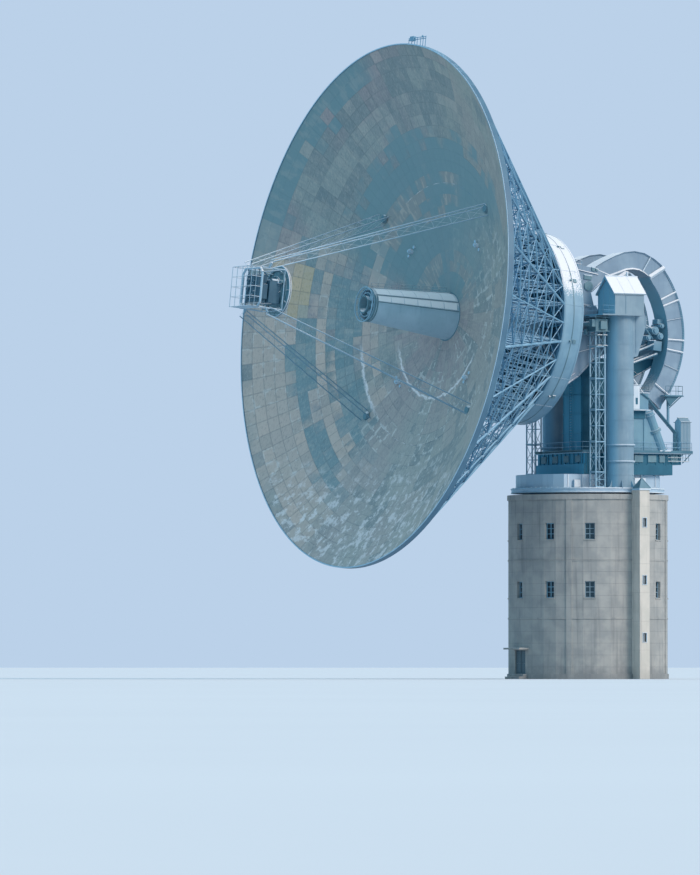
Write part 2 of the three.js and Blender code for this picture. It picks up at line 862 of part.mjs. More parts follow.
  const shaft = new THREE.CylinderGeometry(shaftRadius, shaftRadius, 2 * shoulderX, 16);
  shaft.rotateZ(Math.PI / 2);
  const stub = new THREE.CylinderGeometry(stubRadius, stubRadius, 2 * stubEnd, 16);
  stub.rotateZ(Math.PI / 2);
  addMesh(reflector, "elevation_shaft", fuse([solidOf(shaft), solidOf(stub)]), "mount");

  // The round rear of an arc, about a point ahead of the axis.
  const arcCentre = -2.1;
  const roundRear = (from, to, steps, radius) =>
    Array.from({ length: steps + 1 }, (_, i) => {
      const angle = THREE.MathUtils.degToRad(THREE.MathUtils.lerp(from, to, i / steps));
      return [arcCentre + radius * Math.cos(angle), radius * Math.sin(angle)];
    });
  const outerCurve = [
    arcSeat[1],
    [-1.85, 8.98],
    [-0.45, 9.8],
    [0.9, 10.45],
    [2.35, 10.78],
    [3.8, 10.72],
    [5.3, 10.2],
    [6.4, 9.6],
    ...roundRear(46, -36, 8, 12.75),
    [8.05, -8.1],
  ];
  const innerCurve = [
    [5.15, -6.1],
    ...roundRear(-36, 44, 8, 10.35),
    [4.85, 7.85],
    [4.05, 8.3],
    [3.3, 8.54],
    [2.4, 8.55],
    [1.5, 8.35],
    [0.45, 7.86],
    arcSeat[0],
  ];
  const seatRun = new THREE.Vector2(...arcSeat[1]).sub(new THREE.Vector2(...arcSeat[0]));
  const away = (gap * seatRun.length()) / seatRun.y;
  const arc = [...outerCurve, ...innerCurve].map(([y, z]) => [y + away, z]);
  for (const [side, span] of [
    ["right", [arcInner, arcOuter]],
    ["left", [-arcOuter, -arcInner]],
  ]) {
    addMesh(reflector, `elevation_arc_${side}`, prism(arc, "x", span), "arcs");
  }

  // Small rail frame on the top edge of the dish.
  const rimY = [dishY(dishRadius), dishY(dishRadius) + 0.5];
  const rimTop = dishRadius + gap;
  const railPosts = [3, 5, 7];
  const seat = Math.sqrt(dishRadius ** 2 - railPosts[2] ** 2) - 0.6;
  const rails = railPosts.map((x) => box([x - 0.08, x + 0.08], rimY, [seat, rimTop + 0.5]));
  rails.push(box([2.9, 7.1], rimY, [rimTop + 0.35, rimTop + 0.5]));
  rails.push(box([3.4, 4.4], rimY, [rimTop + 0.1, rimTop + 0.7]));
  const rimDisc = turned(
    [
      [0, rimY[0] - 1],
      [rimTop, rimY[0] - 1],
      [rimTop, rimY[1] + 1],
      [0, rimY[1] + 1],
    ],
    dishFacets,
  );
  addMesh(reflector, "rim_rail", cut(fuse(rails), [rimDisc]), "truss");
}

const telescope = new THREE.Group();
const base = new THREE.Group();
const mount = new THREE.Group();
const reflector = new THREE.Group();
reflector.position.set(0, 0, axisHeight * unit);
reflector.rotation.x = -restElevation;
telescope.add(base);
telescope.add(mount);
mount.add(reflector);

buildBase(base);
buildMount(mount);
buildReflector(reflector);

export default telescope;
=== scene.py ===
import json
import math
from itertools import pairwise

import bmesh
import bpy
from mathutils import Matrix, Vector


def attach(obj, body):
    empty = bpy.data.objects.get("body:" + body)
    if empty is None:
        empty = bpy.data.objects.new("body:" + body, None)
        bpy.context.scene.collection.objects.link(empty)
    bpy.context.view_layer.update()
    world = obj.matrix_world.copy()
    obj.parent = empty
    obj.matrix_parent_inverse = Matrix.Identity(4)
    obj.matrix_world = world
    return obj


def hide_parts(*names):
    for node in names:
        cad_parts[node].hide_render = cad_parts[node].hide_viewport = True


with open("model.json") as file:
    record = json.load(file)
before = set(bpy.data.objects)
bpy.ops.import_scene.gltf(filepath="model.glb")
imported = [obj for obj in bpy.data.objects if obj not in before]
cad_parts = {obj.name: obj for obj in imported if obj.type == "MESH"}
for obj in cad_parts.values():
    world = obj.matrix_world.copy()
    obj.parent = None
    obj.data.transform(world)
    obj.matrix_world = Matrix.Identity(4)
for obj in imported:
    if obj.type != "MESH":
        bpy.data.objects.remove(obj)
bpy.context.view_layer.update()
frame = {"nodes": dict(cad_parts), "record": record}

# Lengths are real metres until a piece is finished; the model is cut at half size.
model = {"scale": 0.5, "axisHeight": 42, "restTilt": math.radians(6)}
uprightPlace = Matrix.Scale(model["scale"], 4)
tiltedPlace = (
    uprightPlace
    @ Matrix.Translation((0, 0, model["axisHeight"]))
    @ Matrix.Rotation(-model["restTilt"], 4, "X")
)


# shader maths


def tone(red, green, blue):
    shares = [v / 255 for v in (red, green, blue)]
    return (*(s / 12.92 if s < 0.04 else ((s + 0.055) / 1.055) ** 2.4 for s in shares), 1)


class Wire:
    def __init__(self, shader, socket):
        self.shader = shader
        self.socket = socket

    def math(self, operation, *others):
        return self.shader.math(operation, self, *others)

    def __add__(self, other):
        return self.math("ADD", other)

    __radd__ = __add__

    def __sub__(self, other):
        return self.math("SUBTRACT", other)

    def __rsub__(self, other):
        return self.shader.math("SUBTRACT", other, self)

    def __neg__(self):
        return 0 - self

    def __mul__(self, other):
        return self.math("MULTIPLY", other)

    __rmul__ = __mul__

    def __truediv__(self, other):
        return self.math("DIVIDE", other)

    def __pow__(self, other):
        return self.math("POWER", other)

    def __gt__(self, other):
        return self.math("GREATER_THAN", other)

    def __lt__(self, other):
        return self.math("LESS_THAN", other)

    def __abs__(self):
        return self.math("ABSOLUTE")

    def __floor__(self):
        return self.math("FLOOR")


class Shader:
    def __init__(self, owner, color, **constants):
        owner.use_nodes = True
        self.owner = owner
        self.tree = owner.node_tree
        self.surface = self.tree.nodes.get("Principled BSDF")
        self.color = tone(*color)
        for socket, value in constants.items():
            self.surface.inputs[socket.replace("_", " ")].default_value = value

    def node(self, kind, settings=None, inputs=None, output=0):
        made = self.tree.nodes.new(kind)
        for key, value in (settings or {}).items():
            setattr(made, key, value)
        for key, value in (inputs or {}).items():
            if isinstance(value, Wire):
                self.tree.links.new(value.socket, made.inputs[key])
            else:
                made.inputs[key].default_value = value
        return Wire(self, made.outputs[output])

    def math(self, operation, *values):
        return self.node("ShaderNodeMath", {"operation": operation}, dict(enumerate(values)))

    def most(self, first, *others):
        for other in others:
            first = first.math("MAXIMUM", other)
        return first

    def lay(self, color, mask):  # one more tone over what is there, where the mask is 1
        inputs = {0: mask, 6: self.color, 7: tone(*color)}
        self.color = self.node("ShaderNodeMix", {"data_type": "RGBA"}, inputs, output=2)

    def step(self, value, low, high):
        inputs = {0: value, 1: low, 2: high, 3: 0.0, 4: 1.0}
        return self.node("ShaderNodeMapRange", {"interpolation_type": "SMOOTHSTEP"}, inputs)

    def noise(self, vector, scale, detail=3.0, roughness=0.55):
        inputs = {"Vector": vector, "Scale": scale, "Detail": detail, "Roughness": roughness}
        return self.node("ShaderNodeTexNoise", inputs=inputs)

    def join(self, x, y, z=0.0):
        return self.node("ShaderNodeCombineXYZ", inputs={0: x, 1: y, 2: z})

    def random(self, x, y, seed=0.0):
        spot = self.join(x, y, seed)
        return self.node("ShaderNodeTexWhiteNoise", {"noise_dimensions": "3D"}, {"Vector": spot})

    def stretch(self, vector, factors):
        return self.node("ShaderNodeVectorMath", {"operation": "MULTIPLY"}, {0: vector, 1: factors})

    def split(self, vector):
        return [self.node("ShaderNodeSeparateXYZ", inputs={0: vector}, output=i) for i in range(3)]

    def spot(self, tilt=False):  # real metres, in the reflector's own frame where tilt is true
        inputs = {
            "Vector": self.node("ShaderNodeTexCoord", output="Object"),
            "Location": (0, 0, model["axisHeight"] * model["scale"] if tilt else 0),
            "Rotation": (-model["restTilt"] if tilt else 0, 0, 0),
            "Scale": (model["scale"],) * 3,
        }
        return self.node("ShaderNodeMapping", {"vector_type": "TEXTURE"}, inputs)

    def facing(self):
        return self.split(self.node("ShaderNodeTexCoord", output="Normal"))

    def bump(self, height, distance, strength=0.6):
        inputs = {"Height": height, "Distance": distance, "Strength": strength}
        return self.node("ShaderNodeBump", inputs=inputs)

    def finish(self, **links):
        for socket, value in {"Base_Color": self.color, **links}.items():
            self.tree.links.new(value.socket, self.surface.inputs[socket.replace("_", " ")])
        return self.owner


# "faded" lies in patches, "front" is painted shade, a teal tint of shade and haze on faces turned to
# the dish's open side, and "snow" gives the upward share of a face's normal at which snow begins and
# at which it is full.
snowColor = (226, 228, 232)
rustColor = (118, 100, 88)
steel = {"streaks": 0.35, "roughness": 0.5, "snow": (0.5, 0.8), "rust": 0.2, "rime": snowColor, "cover": 0.95}
paints = {
    "truss": {
        "paint": (102, 146, 172), "faded": (118, 160, 184),
        "grimeAndShade": (74, 120, 148), "front": (104, 150, 178),
        # painted shade: the frost on the truss takes a blue tone of snow in shade
        "streaks": 0.3, "snow": (0.4, 0.8), "rime": (150, 188, 212), "rust": 0.1,
    },
    "ring": {
        "paint": (112, 150, 172), "faded": (124, 160, 180),
        "grimeAndShade": (88, 128, 154), "front": (110, 160, 184),
        "streaks": 0.45, "snow": (0.33, 0.5), "rust": 0.15,
    },
    "arcs": {
        "paint": (120, 144, 164), "faded": (132, 156, 174),
        "grimeAndShade": (96, 128, 150), "front": (108, 164, 186),
        "streaks": 0.4, "snow": (0.42, 0.7),
    },
    "mount": {
        "paint": (116, 144, 162), "faded": (130, 156, 172),
        "grimeAndShade": (94, 128, 150), "front": (118, 170, 196),
    },
    # painted shade: "dark" is a dark teal that stands for the shade and haze under the dish and platform, and
    # its lighter cyan "front" is painted haze
    "dark": {
        "paint": (26, 90, 114), "faded": (36, 100, 124),
        "grimeAndShade": (22, 78, 102), "front": (66, 152, 184),
        "streaks": 0.25, "roughness": 0.6, "rust": 0.1,
    },
    "house": {
        "paint": (118, 144, 160), "faded": (130, 154, 168),
        "grimeAndShade": (100, 132, 152), "front": (114, 176, 202),
        "roughness": 0.55, "snow": (0.35, 0.62), "rust": 0.15,
    },
    "sideFrame": {
        "paint": (100, 140, 162), "faded": (110, 150, 168),
        "grimeAndShade": (84, 124, 148), "front": (98, 152, 178),
    },
    "turntable": {
        "paint": (156, 182, 202), "faded": (166, 190, 208),
        "grimeAndShade": (120, 152, 176), "front": (160, 194, 214),
        "streaks": 0.3, "rust": 0.1,
    },
    "legs": {
        "paint": (146, 178, 198), "faded": (160, 190, 208),
        "grimeAndShade": (110, 146, 170), "front": (140, 176, 198),
        "streaks": 0.2, "snow": (0.1, 0.5), "rust": 0.05,
    },
    "feed": {
        "paint": (164, 192, 206), "faded": (176, 202, 216),
        "grimeAndShade": (124, 160, 182), "front": (150, 186, 204),
        "streaks": 0.3, "roughness": 0.45, "snow": (0.3, 0.5), "rust": 0.08,
    },
    "machinery": {
        "paint": (92, 126, 140), "faded": (106, 140, 152),
        "grimeAndShade": (68, 104, 120), "front": (84, 128, 144),
        "streaks": 0.4, "snow": (0.45, 0.75), "rust": 0.3,
    },
    "door": {
        "paint": (84, 100, 108), "faded": (98, 114, 120),
        "grimeAndShade": (56, 70, 78), "front": (84, 106, 118),
        "streaks": 0.5, "snow": (0.6, 0.9), "rust": 0.4,
    },
    "whiteTrim": {
        "like": "ring", "paint": (190, 206, 218), "faded": (210, 220, 228),
        "front": (150, 190, 212), "streaks": 0.3,
    },
    # painted shade: a darker copy of the machinery paint for the machinery inside the cabin
    "shadedCabinInside": {
        "like": "machinery", "paint": (50, 88, 110), "faded": (66, 104, 124),
        "front": (52, 92, 114),
    },
    # painted shade: the lower legs take a darker copy of the legs' paint with less snow
    "shadedLowerLegs": {
        "like": "legs", "paint": (112, 150, 172), "faded": (122, 158, 178),
        "front": (110, 150, 172), "snow": (0.6, 0.9),
    },
    "rim": {"like": "truss", "paint": (72, 108, 132), "faded": (82, 118, 140), "snow": (0.8, 1.1)},
    "dullRoof": {"like": "machinery", "paint": (96, 130, 146), "faded": (106, 140, 156), "snow": (1.2, 1.4)},
    "stairHead": {"like": "house", "front": (150, 200, 222), "snow": (1.2, 1.4)},
    "struts": {"like": "machinery", "paint": (64, 108, 128), "faded": (76, 120, 138), "snow": (0.8, 1.1)},
    # painted light: the cone plates' snow is whiter than other snow, standing in for light on the cone top
    "conePlates": {"like": "feed", "snow": (-0.1, 0.3), "rime": (250, 250, 252), "cover": 1},
    "brightSteel": {
        "like": "truss", "paint": (132, 168, 188), "faded": (150, 184, 202),
        "front": (134, 176, 196),
    },
}


def steelPaint(name, look):
    shader = Shader(bpy.data.materials.new(name), look["paint"], Specular_IOR_Level=0.35)
    spot = shader.spot()
    along, up = shader.facing()[1:]
    cloud = shader.noise(spot, 0.35)
    fine = shader.noise(spot, 6.0, detail=4.0)
    streak = shader.noise(shader.stretch(spot, (2.6, 2.6, 0.16)), 1.0, detail=4.0)
    rust = shader.step(shader.noise(spot, 1.7, detail=5.0, roughness=0.7), 0.63, 0.74)
    frost = shader.step(up + (fine - 0.5) * 0.5 + (cloud - 0.5) * 0.4, *look["snow"])
    shader.lay(look["faded"], shader.step(cloud, 0.38, 0.64))
    # painted shade: faces turned to the dish's open side take the teal "front" tone
    shader.lay(look["front"], shader.step(-along, 0.45, 0.95))
    shader.lay(look["grimeAndShade"], shader.step(streak, 0.5, 0.8) * look["streaks"])
    shader.lay(rustColor, rust * look["rust"])
    # painted shade: faces turned downwards take the darker tone
    shader.lay(look["grimeAndShade"], shader.step(-up, 0.3, 0.9) * 0.35)
    shader.lay(look["rime"], frost * look["cover"])
    return shader.finish(
        Roughness=look["roughness"] + frost * 0.25 + (cloud - 0.5) * 0.2,
        Normal=shader.bump(fine * 0.3 + frost * 0.9, 0.01),
    )


def concretePaint(name, look):  # "lift" is the height of one cast layer
    shader = Shader(bpy.data.materials.new(name), look["paint"], Specular_IOR_Level=0.2)
    spot = shader.spot()
    z = shader.split(spot)[2]
    up = shader.facing()[2]
    cloud = shader.noise(spot, 0.5)
    fine = shader.noise(spot, 9.0, detail=6.0, roughness=0.65)
    streak = shader.noise(shader.stretch(spot, (1.8, 1.8, 0.1)), 1.0, detail=4.0)
    joint = (z / look["lift"]).math("FRACT") < 0.035 / look["lift"]
    shader.lay(look["faded"], shader.step(cloud, 0.35, 0.65))
    shader.lay(look["grimeAndShade"], shader.step(streak, 0.48, 0.8) * 0.6)
    shader.lay(look["grimeAndShade"], joint * 0.55)
    shader.lay(look["grimeAndShade"], (1 - shader.step(z + cloud * 2.5, 1.2, 3.4)) * 0.5)  # damp near the ground
    shader.lay(snowColor, shader.step(up + (fine - 0.5) * 0.4, 0.55, 0.8) * 0.9)
    return shader.finish(
        Roughness=0.75 + fine * 0.2,
        Normal=shader.bump(fine * 0.5 - joint * 0.8, 0.012),
    )


def glassPaint(name):
    shader = Shader(bpy.data.materials.new(name), (40, 56, 68), Specular_IOR_Level=0.6)
    haze = shader.noise(shader.spot(), 0.8)
    shader.lay((70, 92, 108), haze)
    return shader.finish(Roughness=0.06 + haze * 0.12)


finishes = {}
for name, look in paints.items():
    look = {**steel, **paints.get(look.get("like"), {}), **look}
    finishes[name] = steelPaint(name + "Paint", look)
concrete = {"paint": (150, 154, 154), "faded": (166, 168, 166), "grimeAndShade": (112, 118, 122), "lift": 1.45}
cream = {"paint": (196, 194, 186), "faded": (206, 202, 194), "grimeAndShade": (160, 160, 156), "lift": 3.5}
finishes["concrete"] = concretePaint("castConcrete", concrete)
finishes["render"] = concretePaint("creamRender", cream)
finishes["glass"] = glassPaint("windowGlass")

dish = {
    "radius": 32,
    "inner": 2.86,
    "focal": 23.4,
    "vertexAhead": 20,
    "thickness": 0.1,
    "rings": 22,
    "innerRings": 10,
    "innerColumns": 6,
    "outerColumns": 12,
    "sectors": 8,
    "jointWidth": 0.02,
    "jointDepth": 0.012,
    "lipDepth": 0.7,
    "lipWidth": 0.15,
    "rimSteps": 192,
}
dish["rowHeight"] = (dish["radius"] - dish["inner"]) / dish["rings"]


# The panels' tones: rings, bands and patches that follow the dish, broken up panel by panel.
def dishPaint(name):
    shader = Shader(bpy.data.materials.new(name), (152, 150, 154), Specular_IOR_Level=0.2)
    spot = shader.spot(tilt=True)
    x, z = shader.split(spot)[::2]
    radius = (x * x + z * z).math("SQRT")
    turn = x.math("ARCTAN2", z)
    degrees = turn * 57.3
    fromTop = abs(turn) * 57.3
    around = turn / math.tau + 0.5
    rows = (radius - dish["inner"]) / dish["rowHeight"]
    outer = rows > dish["innerRings"]
    columns = dish["sectors"] * (dish["innerColumns"] + outer * (dish["outerColumns"] - dish["innerColumns"]))
    cell = shader.random(math.floor(rows), math.floor(around * columns))
    pair = shader.random(math.floor(rows / 2), math.floor(around * 48), 3.0)
    field = shader.random(math.floor(rows / 3), math.floor(around * 32), 7.0)
    cloud = shader.noise(spot, 0.07, detail=3.0)
    patch = shader.noise(spot, 0.2, detail=4.0)
    fine = shader.noise(spot, 2.4, detail=6.0, roughness=0.65)
    grain = shader.noise(shader.stretch(spot, (2.4, 0.5, 0.9)), 2.6, detail=5.0, roughness=0.75)
    ragged = shader.noise(shader.stretch(spot, (1.0, 0.3, 1.0)), 0.9, detail=5.0, roughness=0.7)
    combed = shader.noise(shader.join(around * 150, rows * 0.55), 1.0, detail=4.0, roughness=0.6)

    # tones change from panel to panel, so places are taken at the middle of a panel
    def middleOf(steps, count):
        ringRadius = (math.floor(rows / steps) + 0.5) * steps * dish["rowHeight"] + dish["inner"]
        panelTurn = ((math.floor(around * count) + 0.5) / count - 0.5) * math.tau
        return ringRadius, ringRadius * panelTurn.math("SINE"), ringRadius * panelTurn.math("COSINE")

    groupRadius, panelX, panelZ = middleOf(2, 48)
    rowRadius = middleOf(1, 96)[0]
    jagged = (pair - 0.5) * 2.4

    def ringAt(centre, half):
        shift = jagged * 0.45 + (cell - 0.5) * 1.2 + (patch - 0.5) * 3
        return 1 - shader.step(abs(rowRadius - centre + shift), half * 0.6, half * 1.1)

    # broad tones: greener on the right, lighter low down, dimmer in patches and high up
    left = shader.step(-panelX + jagged, 8, 14)
    low = 1 - shader.step(panelZ + jagged * 2, 2, 13)
    right = shader.step(panelX + jagged * 2, -4, 14)
    upper = shader.step(panelZ, 8, 16) * (1 - right) * shader.step(pair + cloud, 0.9, 1.15)
    shader.lay((142, 156, 157), shader.step(cloud + field * 0.2, 0.5, 0.7))
    shader.lay((150, 158, 152), right * 0.6)
    shader.lay((164, 170, 168), shader.step(-panelZ + jagged * 2, 0, 16) * 0.55)
    shader.lay((116, 136, 142), shader.step(field * 0.5 + patch * 0.6 + pair * 0.25, 0.76, 0.84) * 0.6)
    shader.lay((118, 136, 142), upper * 0.5)

    # smooth blue-green upper middle and outer band, dark and tan rings on the left
    edge = rowRadius + (patch - 0.5) * 7 + jagged * 0.7 + (cell - 0.5) * 1.5
    calm = (1 - shader.step(edge, 21, 22.6)) * (1 - shader.step(fromTop + (patch - 0.5) * 60, 58, 78))
    calm = calm * (1 - right * shader.step(14 - z, 0, 6) * 0.6)
    outerBand = shader.step(rowRadius + jagged * 0.5 + (cell - 0.5), 29.2, 29.6)
    smooth = shader.most(calm, outerBand * shader.step(-x, 5, 11) * shader.step(z, 0, 8))
    dark = shader.most(ringAt(24.4, 1.4), ringAt(18.8, 2.2)) * left * low
    tan = shader.most(ringAt(22.1, 1.0), ringAt(28.7, 3.5), ringAt(14.8, 1.3)) * left * low
    gold = 1 - shader.step(((panelX + 25.2) / 3) ** 2 + ((panelZ - 4) / 3.2) ** 2 + cell * 0.3, 0.8, 1.1)
    shader.lay((112, 147, 156), smooth * 0.9)
    shader.lay((190, 180, 172), tan * (0.6 + pair * 0.4))
    shader.lay((114, 147, 156), dark * 0.85)
    shader.lay((204, 184, 150), gold * (0.4 + cell * 0.5))
    shader.lay((104, 128, 136), (cell > 0.88) * (1 - smooth) * 0.2)
    shader.lay((180, 182, 178), (cell < 0.12) * (1 - smooth) * 0.2)

    # worn strokes that run along the panels: a ring of them crosses the calm area
    petals = shader.most(
        ringAt(15.8, 1.5) * shader.step(-degrees + 20, 0, 12) * calm,
        ringAt(13.8, 1.5) * calm * shader.step(22 - abs(degrees + 4), 0, 10),
        ringAt(6.6, 1.4) * shader.step(z, -2, 2) * 0.8,
    )
    petals = petals * shader.step(patch + (cell - 0.5) * 0.25, 0.36, 0.5)
    combing = shader.step(combed, 0.5, 0.62) * (petals + (1 - calm) * 0.35)
    rough = 1 - smooth * 0.85
    shader.lay((150, 150, 148), petals * 0.6)
    shader.lay((186, 184, 178), combing * 0.5)
    shader.lay((92, 110, 118), shader.step(grain, 0.52, 0.66) * rough * 0.4)
    shader.lay((190, 190, 184), shader.step(0.5 - grain, 0.02, 0.14) * rough * 0.28)

    # panel joints, and frost strokes that caught on them
    def joint(phase, half):
        return abs(phase.math("FRACT") - 0.5) > 0.5 - half

    lines = shader.most(joint(rows, 0.045), joint(around * columns, 0.04))
    faint = shader.step(patch + tan * 0.3, 0.4, 0.7)
    strokes = shader.most(joint(around * columns, 0.15), joint(rows, 0.12))
    strokes = strokes * shader.step(ragged, 0.5, 0.58) * shader.step(field, 0.35, 0.5)
    near = (1 - shader.step(groupRadius, 17, 24)) * (1 - calm) * shader.step(panelX - panelZ * 0.5, -11, -2)
    shader.lay((88, 108, 118), lines * rough * (0.04 + faint * 0.26))
    shader.lay((208, 214, 214), strokes * shader.most(near, tan * 0.7) * 0.55)

    # snow left in thin arcs low in the bowl
    jitter = (ragged - 0.5) * 1.3
    firstArc = 1 - shader.step(abs(radius - 10.1 + jitter), 0.02, 0.28)
    firstArc = firstArc * shader.step(fromTop, 104, 124) * (1 - (x > 4) * shader.step(128 - fromTop, 0, 12))
    secondArc = 1 - shader.step(abs(radius - 16.1 + jitter), 0.03, 0.34)
    secondArc = secondArc * shader.step(fromTop, 98, 110) * (1 - shader.step(fromTop, 128, 142)) * (x < 0)
    drift = shader.step(-z + ragged * 16, 26, 34) * shader.step(ragged, 0.5, 0.6) * 0.7
    snow = shader.most(firstArc, secondArc, drift) * shader.step(fine, 0.3, 0.45)
    shader.lay(snowColor, snow * 0.85)
    # painted shade: the panels' backs behind the truss take a blue tone of shade and haze
    shader.lay((92, 142, 174), shader.facing()[1] > 0)  # the backs, behind the truss
    return shader.finish(
        Roughness=0.6 + snow * 0.25 + (cell - 0.5) * 0.12,
        Normal=shader.bump(fine * 0.25 + snow * 0.5, 0.01, 0.5),
    )


finishes["panels"] = dishPaint("dishPanels")
print("materials made")


# mesh helpers

bothSides = {"Right": 1, "Left": -1}


def bar(mesh, start, end, radius, sides=4, endRadius=None):
    start, end = Vector(start), Vector(end)
    run = end - start
    place = Matrix.Translation((start + end) / 2) @ run.to_track_quat("Z", "Y").to_matrix().to_4x4()
    return bmesh.ops.create_cone(
        mesh,
        cap_ends=True,
        segments=sides,
        radius1=radius,
        radius2=radius if endRadius is None else endRadius,
        depth=run.length,
        matrix=place,
    )["verts"]


def block(mesh, x, y, z):
    size = Matrix.Diagonal((x[1] - x[0], y[1] - y[0], z[1] - z[0], 1))
    middle = Matrix.Translation(((x[0] + x[1]) / 2, (y[0] + y[1]) / 2, (z[0] + z[1]) / 2))
    return bmesh.ops.create_cube(mesh, size=1, matrix=middle @ size)["verts"]


def roundedBlock(mesh, x, y, z, edge=0.05):
    edges = list({e for v in block(mesh, x, y, z) for e in v.link_edges})
    bmesh.ops.bevel(mesh, geom=edges, offset=edge, affect="EDGES", segments=2, profile=0.5, material=-1)


def about(middle, half):  # a reach about its middle
    return middle - half, middle + half


def across(sign, near, far):  # a reach along x, on the right or on the left
    return (near, far) if sign > 0 else (-far, -near)


def bars(mesh, rows, sign=1):  # rows of start, end, radius and sides
    for (x0, y0, z0), (x1, y1, z1), radius, sides in rows:
        bar(mesh, (sign * x0, y0, z0), (sign * x1, y1, z1), radius, sides)


def blocks(mesh, rows, sign=1):  # rows of the reaches along x, y and z
    for x, y, z in rows:
        block(mesh, across(sign, *x), y, z)


def roundedBlocks(mesh, rows, sign=1):  # the same with the width of the rounded edge
    for x, y, z, edge in rows:
        roundedBlock(mesh, across(sign, *x), y, z, edge)


def flatBars(mesh, x, rows):  # rows of y and z of both ends, and the radius
    for y0, z0, y1, z1, radius in rows:
        bar(mesh, (x, y0, z0), (x, y1, z1), radius)


def slab(mesh, outline, axis, span):  # an outline of (y, z) along x, or of (x, z) along y
    place = {"x": lambda u, v: (span[0], u, v), "y": lambda u, v: (u, span[0], v)}[axis]
    face = mesh.faces.new([mesh.verts.new(place(u, v)) for u, v in outline])
    made = bmesh.ops.extrude_face_region(mesh, geom=[face])["geom"]
    shift = {"x": (1, 0, 0), "y": (0, 1, 0)}[axis]
    verts = [v for v in made if isinstance(v, bmesh.types.BMVert)]
    bmesh.ops.translate(mesh, verts=verts, vec=Vector(shift) * (span[1] - span[0]))
    return list(face.verts) + verts


def lathe(mesh, profile, steps, axis="Y", start=0.0, sweep=math.tau, closed=False, centre=(0, 0, 0)):
    turn = Matrix.Translation(centre) @ Matrix.Rotation(start, 4, axis)
    place = {
        "X": lambda radius, along: (along, 0, radius),
        "Y": lambda radius, along: (0, along, radius),
        "Z": lambda radius, along: (radius, 0, along),
    }[axis]
    verts = [mesh.verts.new(turn @ Vector(place(radius, along))) for radius, along in profile]
    edges = [mesh.edges.new(pair) for pair in pairwise(verts)]
    if closed:
        edges.append(mesh.edges.new((verts[-1], verts[0])))
    bmesh.ops.spin(
        mesh,
        geom=verts + edges,
        cent=centre,
        axis={"X": (1, 0, 0), "Y": (0, 1, 0), "Z": (0, 0, 1)}[axis],
        angle=sweep,
        steps=steps,
        use_merge=abs(sweep - math.tau) < 1e-6,
    )


def band(mesh, radii, reach, steps, axis="Y", centre=(0, 0, 0)):  # a closed ring of square section
    inner, outer = radii
    near, far = reach
    profile = [(inner, near), (outer, near), (outer, far), (inner, far)]
    lathe(mesh, profile, steps, axis, centre=centre, closed=True)


def hoop(mesh, radius, along, half, height=None, steps=96, axis="Y", centre=(0, 0, 0)):
    # with a height it stands on a surface of that radius, or else the radius is its middle
    radii = (radius - half, radius + half) if height is None else (radius - 0.05, radius + height)
    band(mesh, radii, (along - half, along + half), steps, axis, centre)


def spaced(first, last, count):  # values from the first to the last at even gaps
    return [first + (last - first) * i / (count - 1) for i in range(count)]


def turns(count, shift=0.0):  # even steps of a full turn
    return [math.tau * (i + shift) / count for i in range(count)]


def circle(radius, count):
    return [(radius * math.cos(turn), radius * math.sin(turn)) for turn in turns(count)]


def squareLoop(mesh, half, along, thickness):
    corners = [(-half, along, -half), (half, along, -half), (half, along, half), (-half, along, half)]
    for start, end in pairwise(corners + corners[:1]):
        bar(mesh, start, end, thickness)


def spinVerts(mesh, verts, angle, axis, centre=(0, 0, 0)):
    place = Matrix.Translation(centre) @ Matrix.Rotation(angle, 4, axis)
    bmesh.ops.transform(mesh, matrix=place, verts=verts)


def addToScene(name, data):
    thing = bpy.data.objects.new(name, data)
    bpy.context.scene.collection.objects.link(thing)
    return thing


def addPiece(name, mesh, body, slotName, finish=None, weld=False, soft=None, standsFor=()):
    if weld:
        bmesh.ops.remove_doubles(mesh, verts=mesh.verts, dist=1e-4)
    bmesh.ops.recalc_face_normals(mesh, faces=mesh.faces)
    mesh.transform(tiltedPlace if body == "reflector" else uprightPlace)
    if soft:
        for face in mesh.faces:
            face.smooth = True
        for edge in mesh.edges:
            edge.smooth = len(edge.link_faces) == 2 and edge.calc_face_angle(0) < soft
    data = bpy.data.meshes.new(name)
    mesh.to_mesh(data)
    mesh.free()
    data.materials.append(finishes[finish or slotName])
    piece = addToScene(name, data)
    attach(piece, body)
    if standsFor:
        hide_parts(*standsFor)


# the frame's own nodes get their finishes
finishOf = {entry["node"]: entry["material_slot"] for entry in frame["record"]["subparts"]}
finishOf.update(
    feed_horns="machinery",
    lift_tower_roof="dullRoof",
    rear_stair_head="stairHead",
    turntable="turntable",
    side_frame_right="sideFrame",
    side_frame_left="sideFrame",
)
for nodeName, node in frame["nodes"].items():
    node.data.materials.clear()
    node.data.materials.append(finishes[finishOf[nodeName]])
print("frame dressed")


# reflector: panels, rim and truss


def dishY(radius):
    return -(dish["vertexAhead"] + radius * radius / (4 * dish["focal"]))


def polar(radius, along, angle):  # angle from straight up towards +X
    return Vector((radius * math.sin(angle), along, radius * math.cos(angle)))


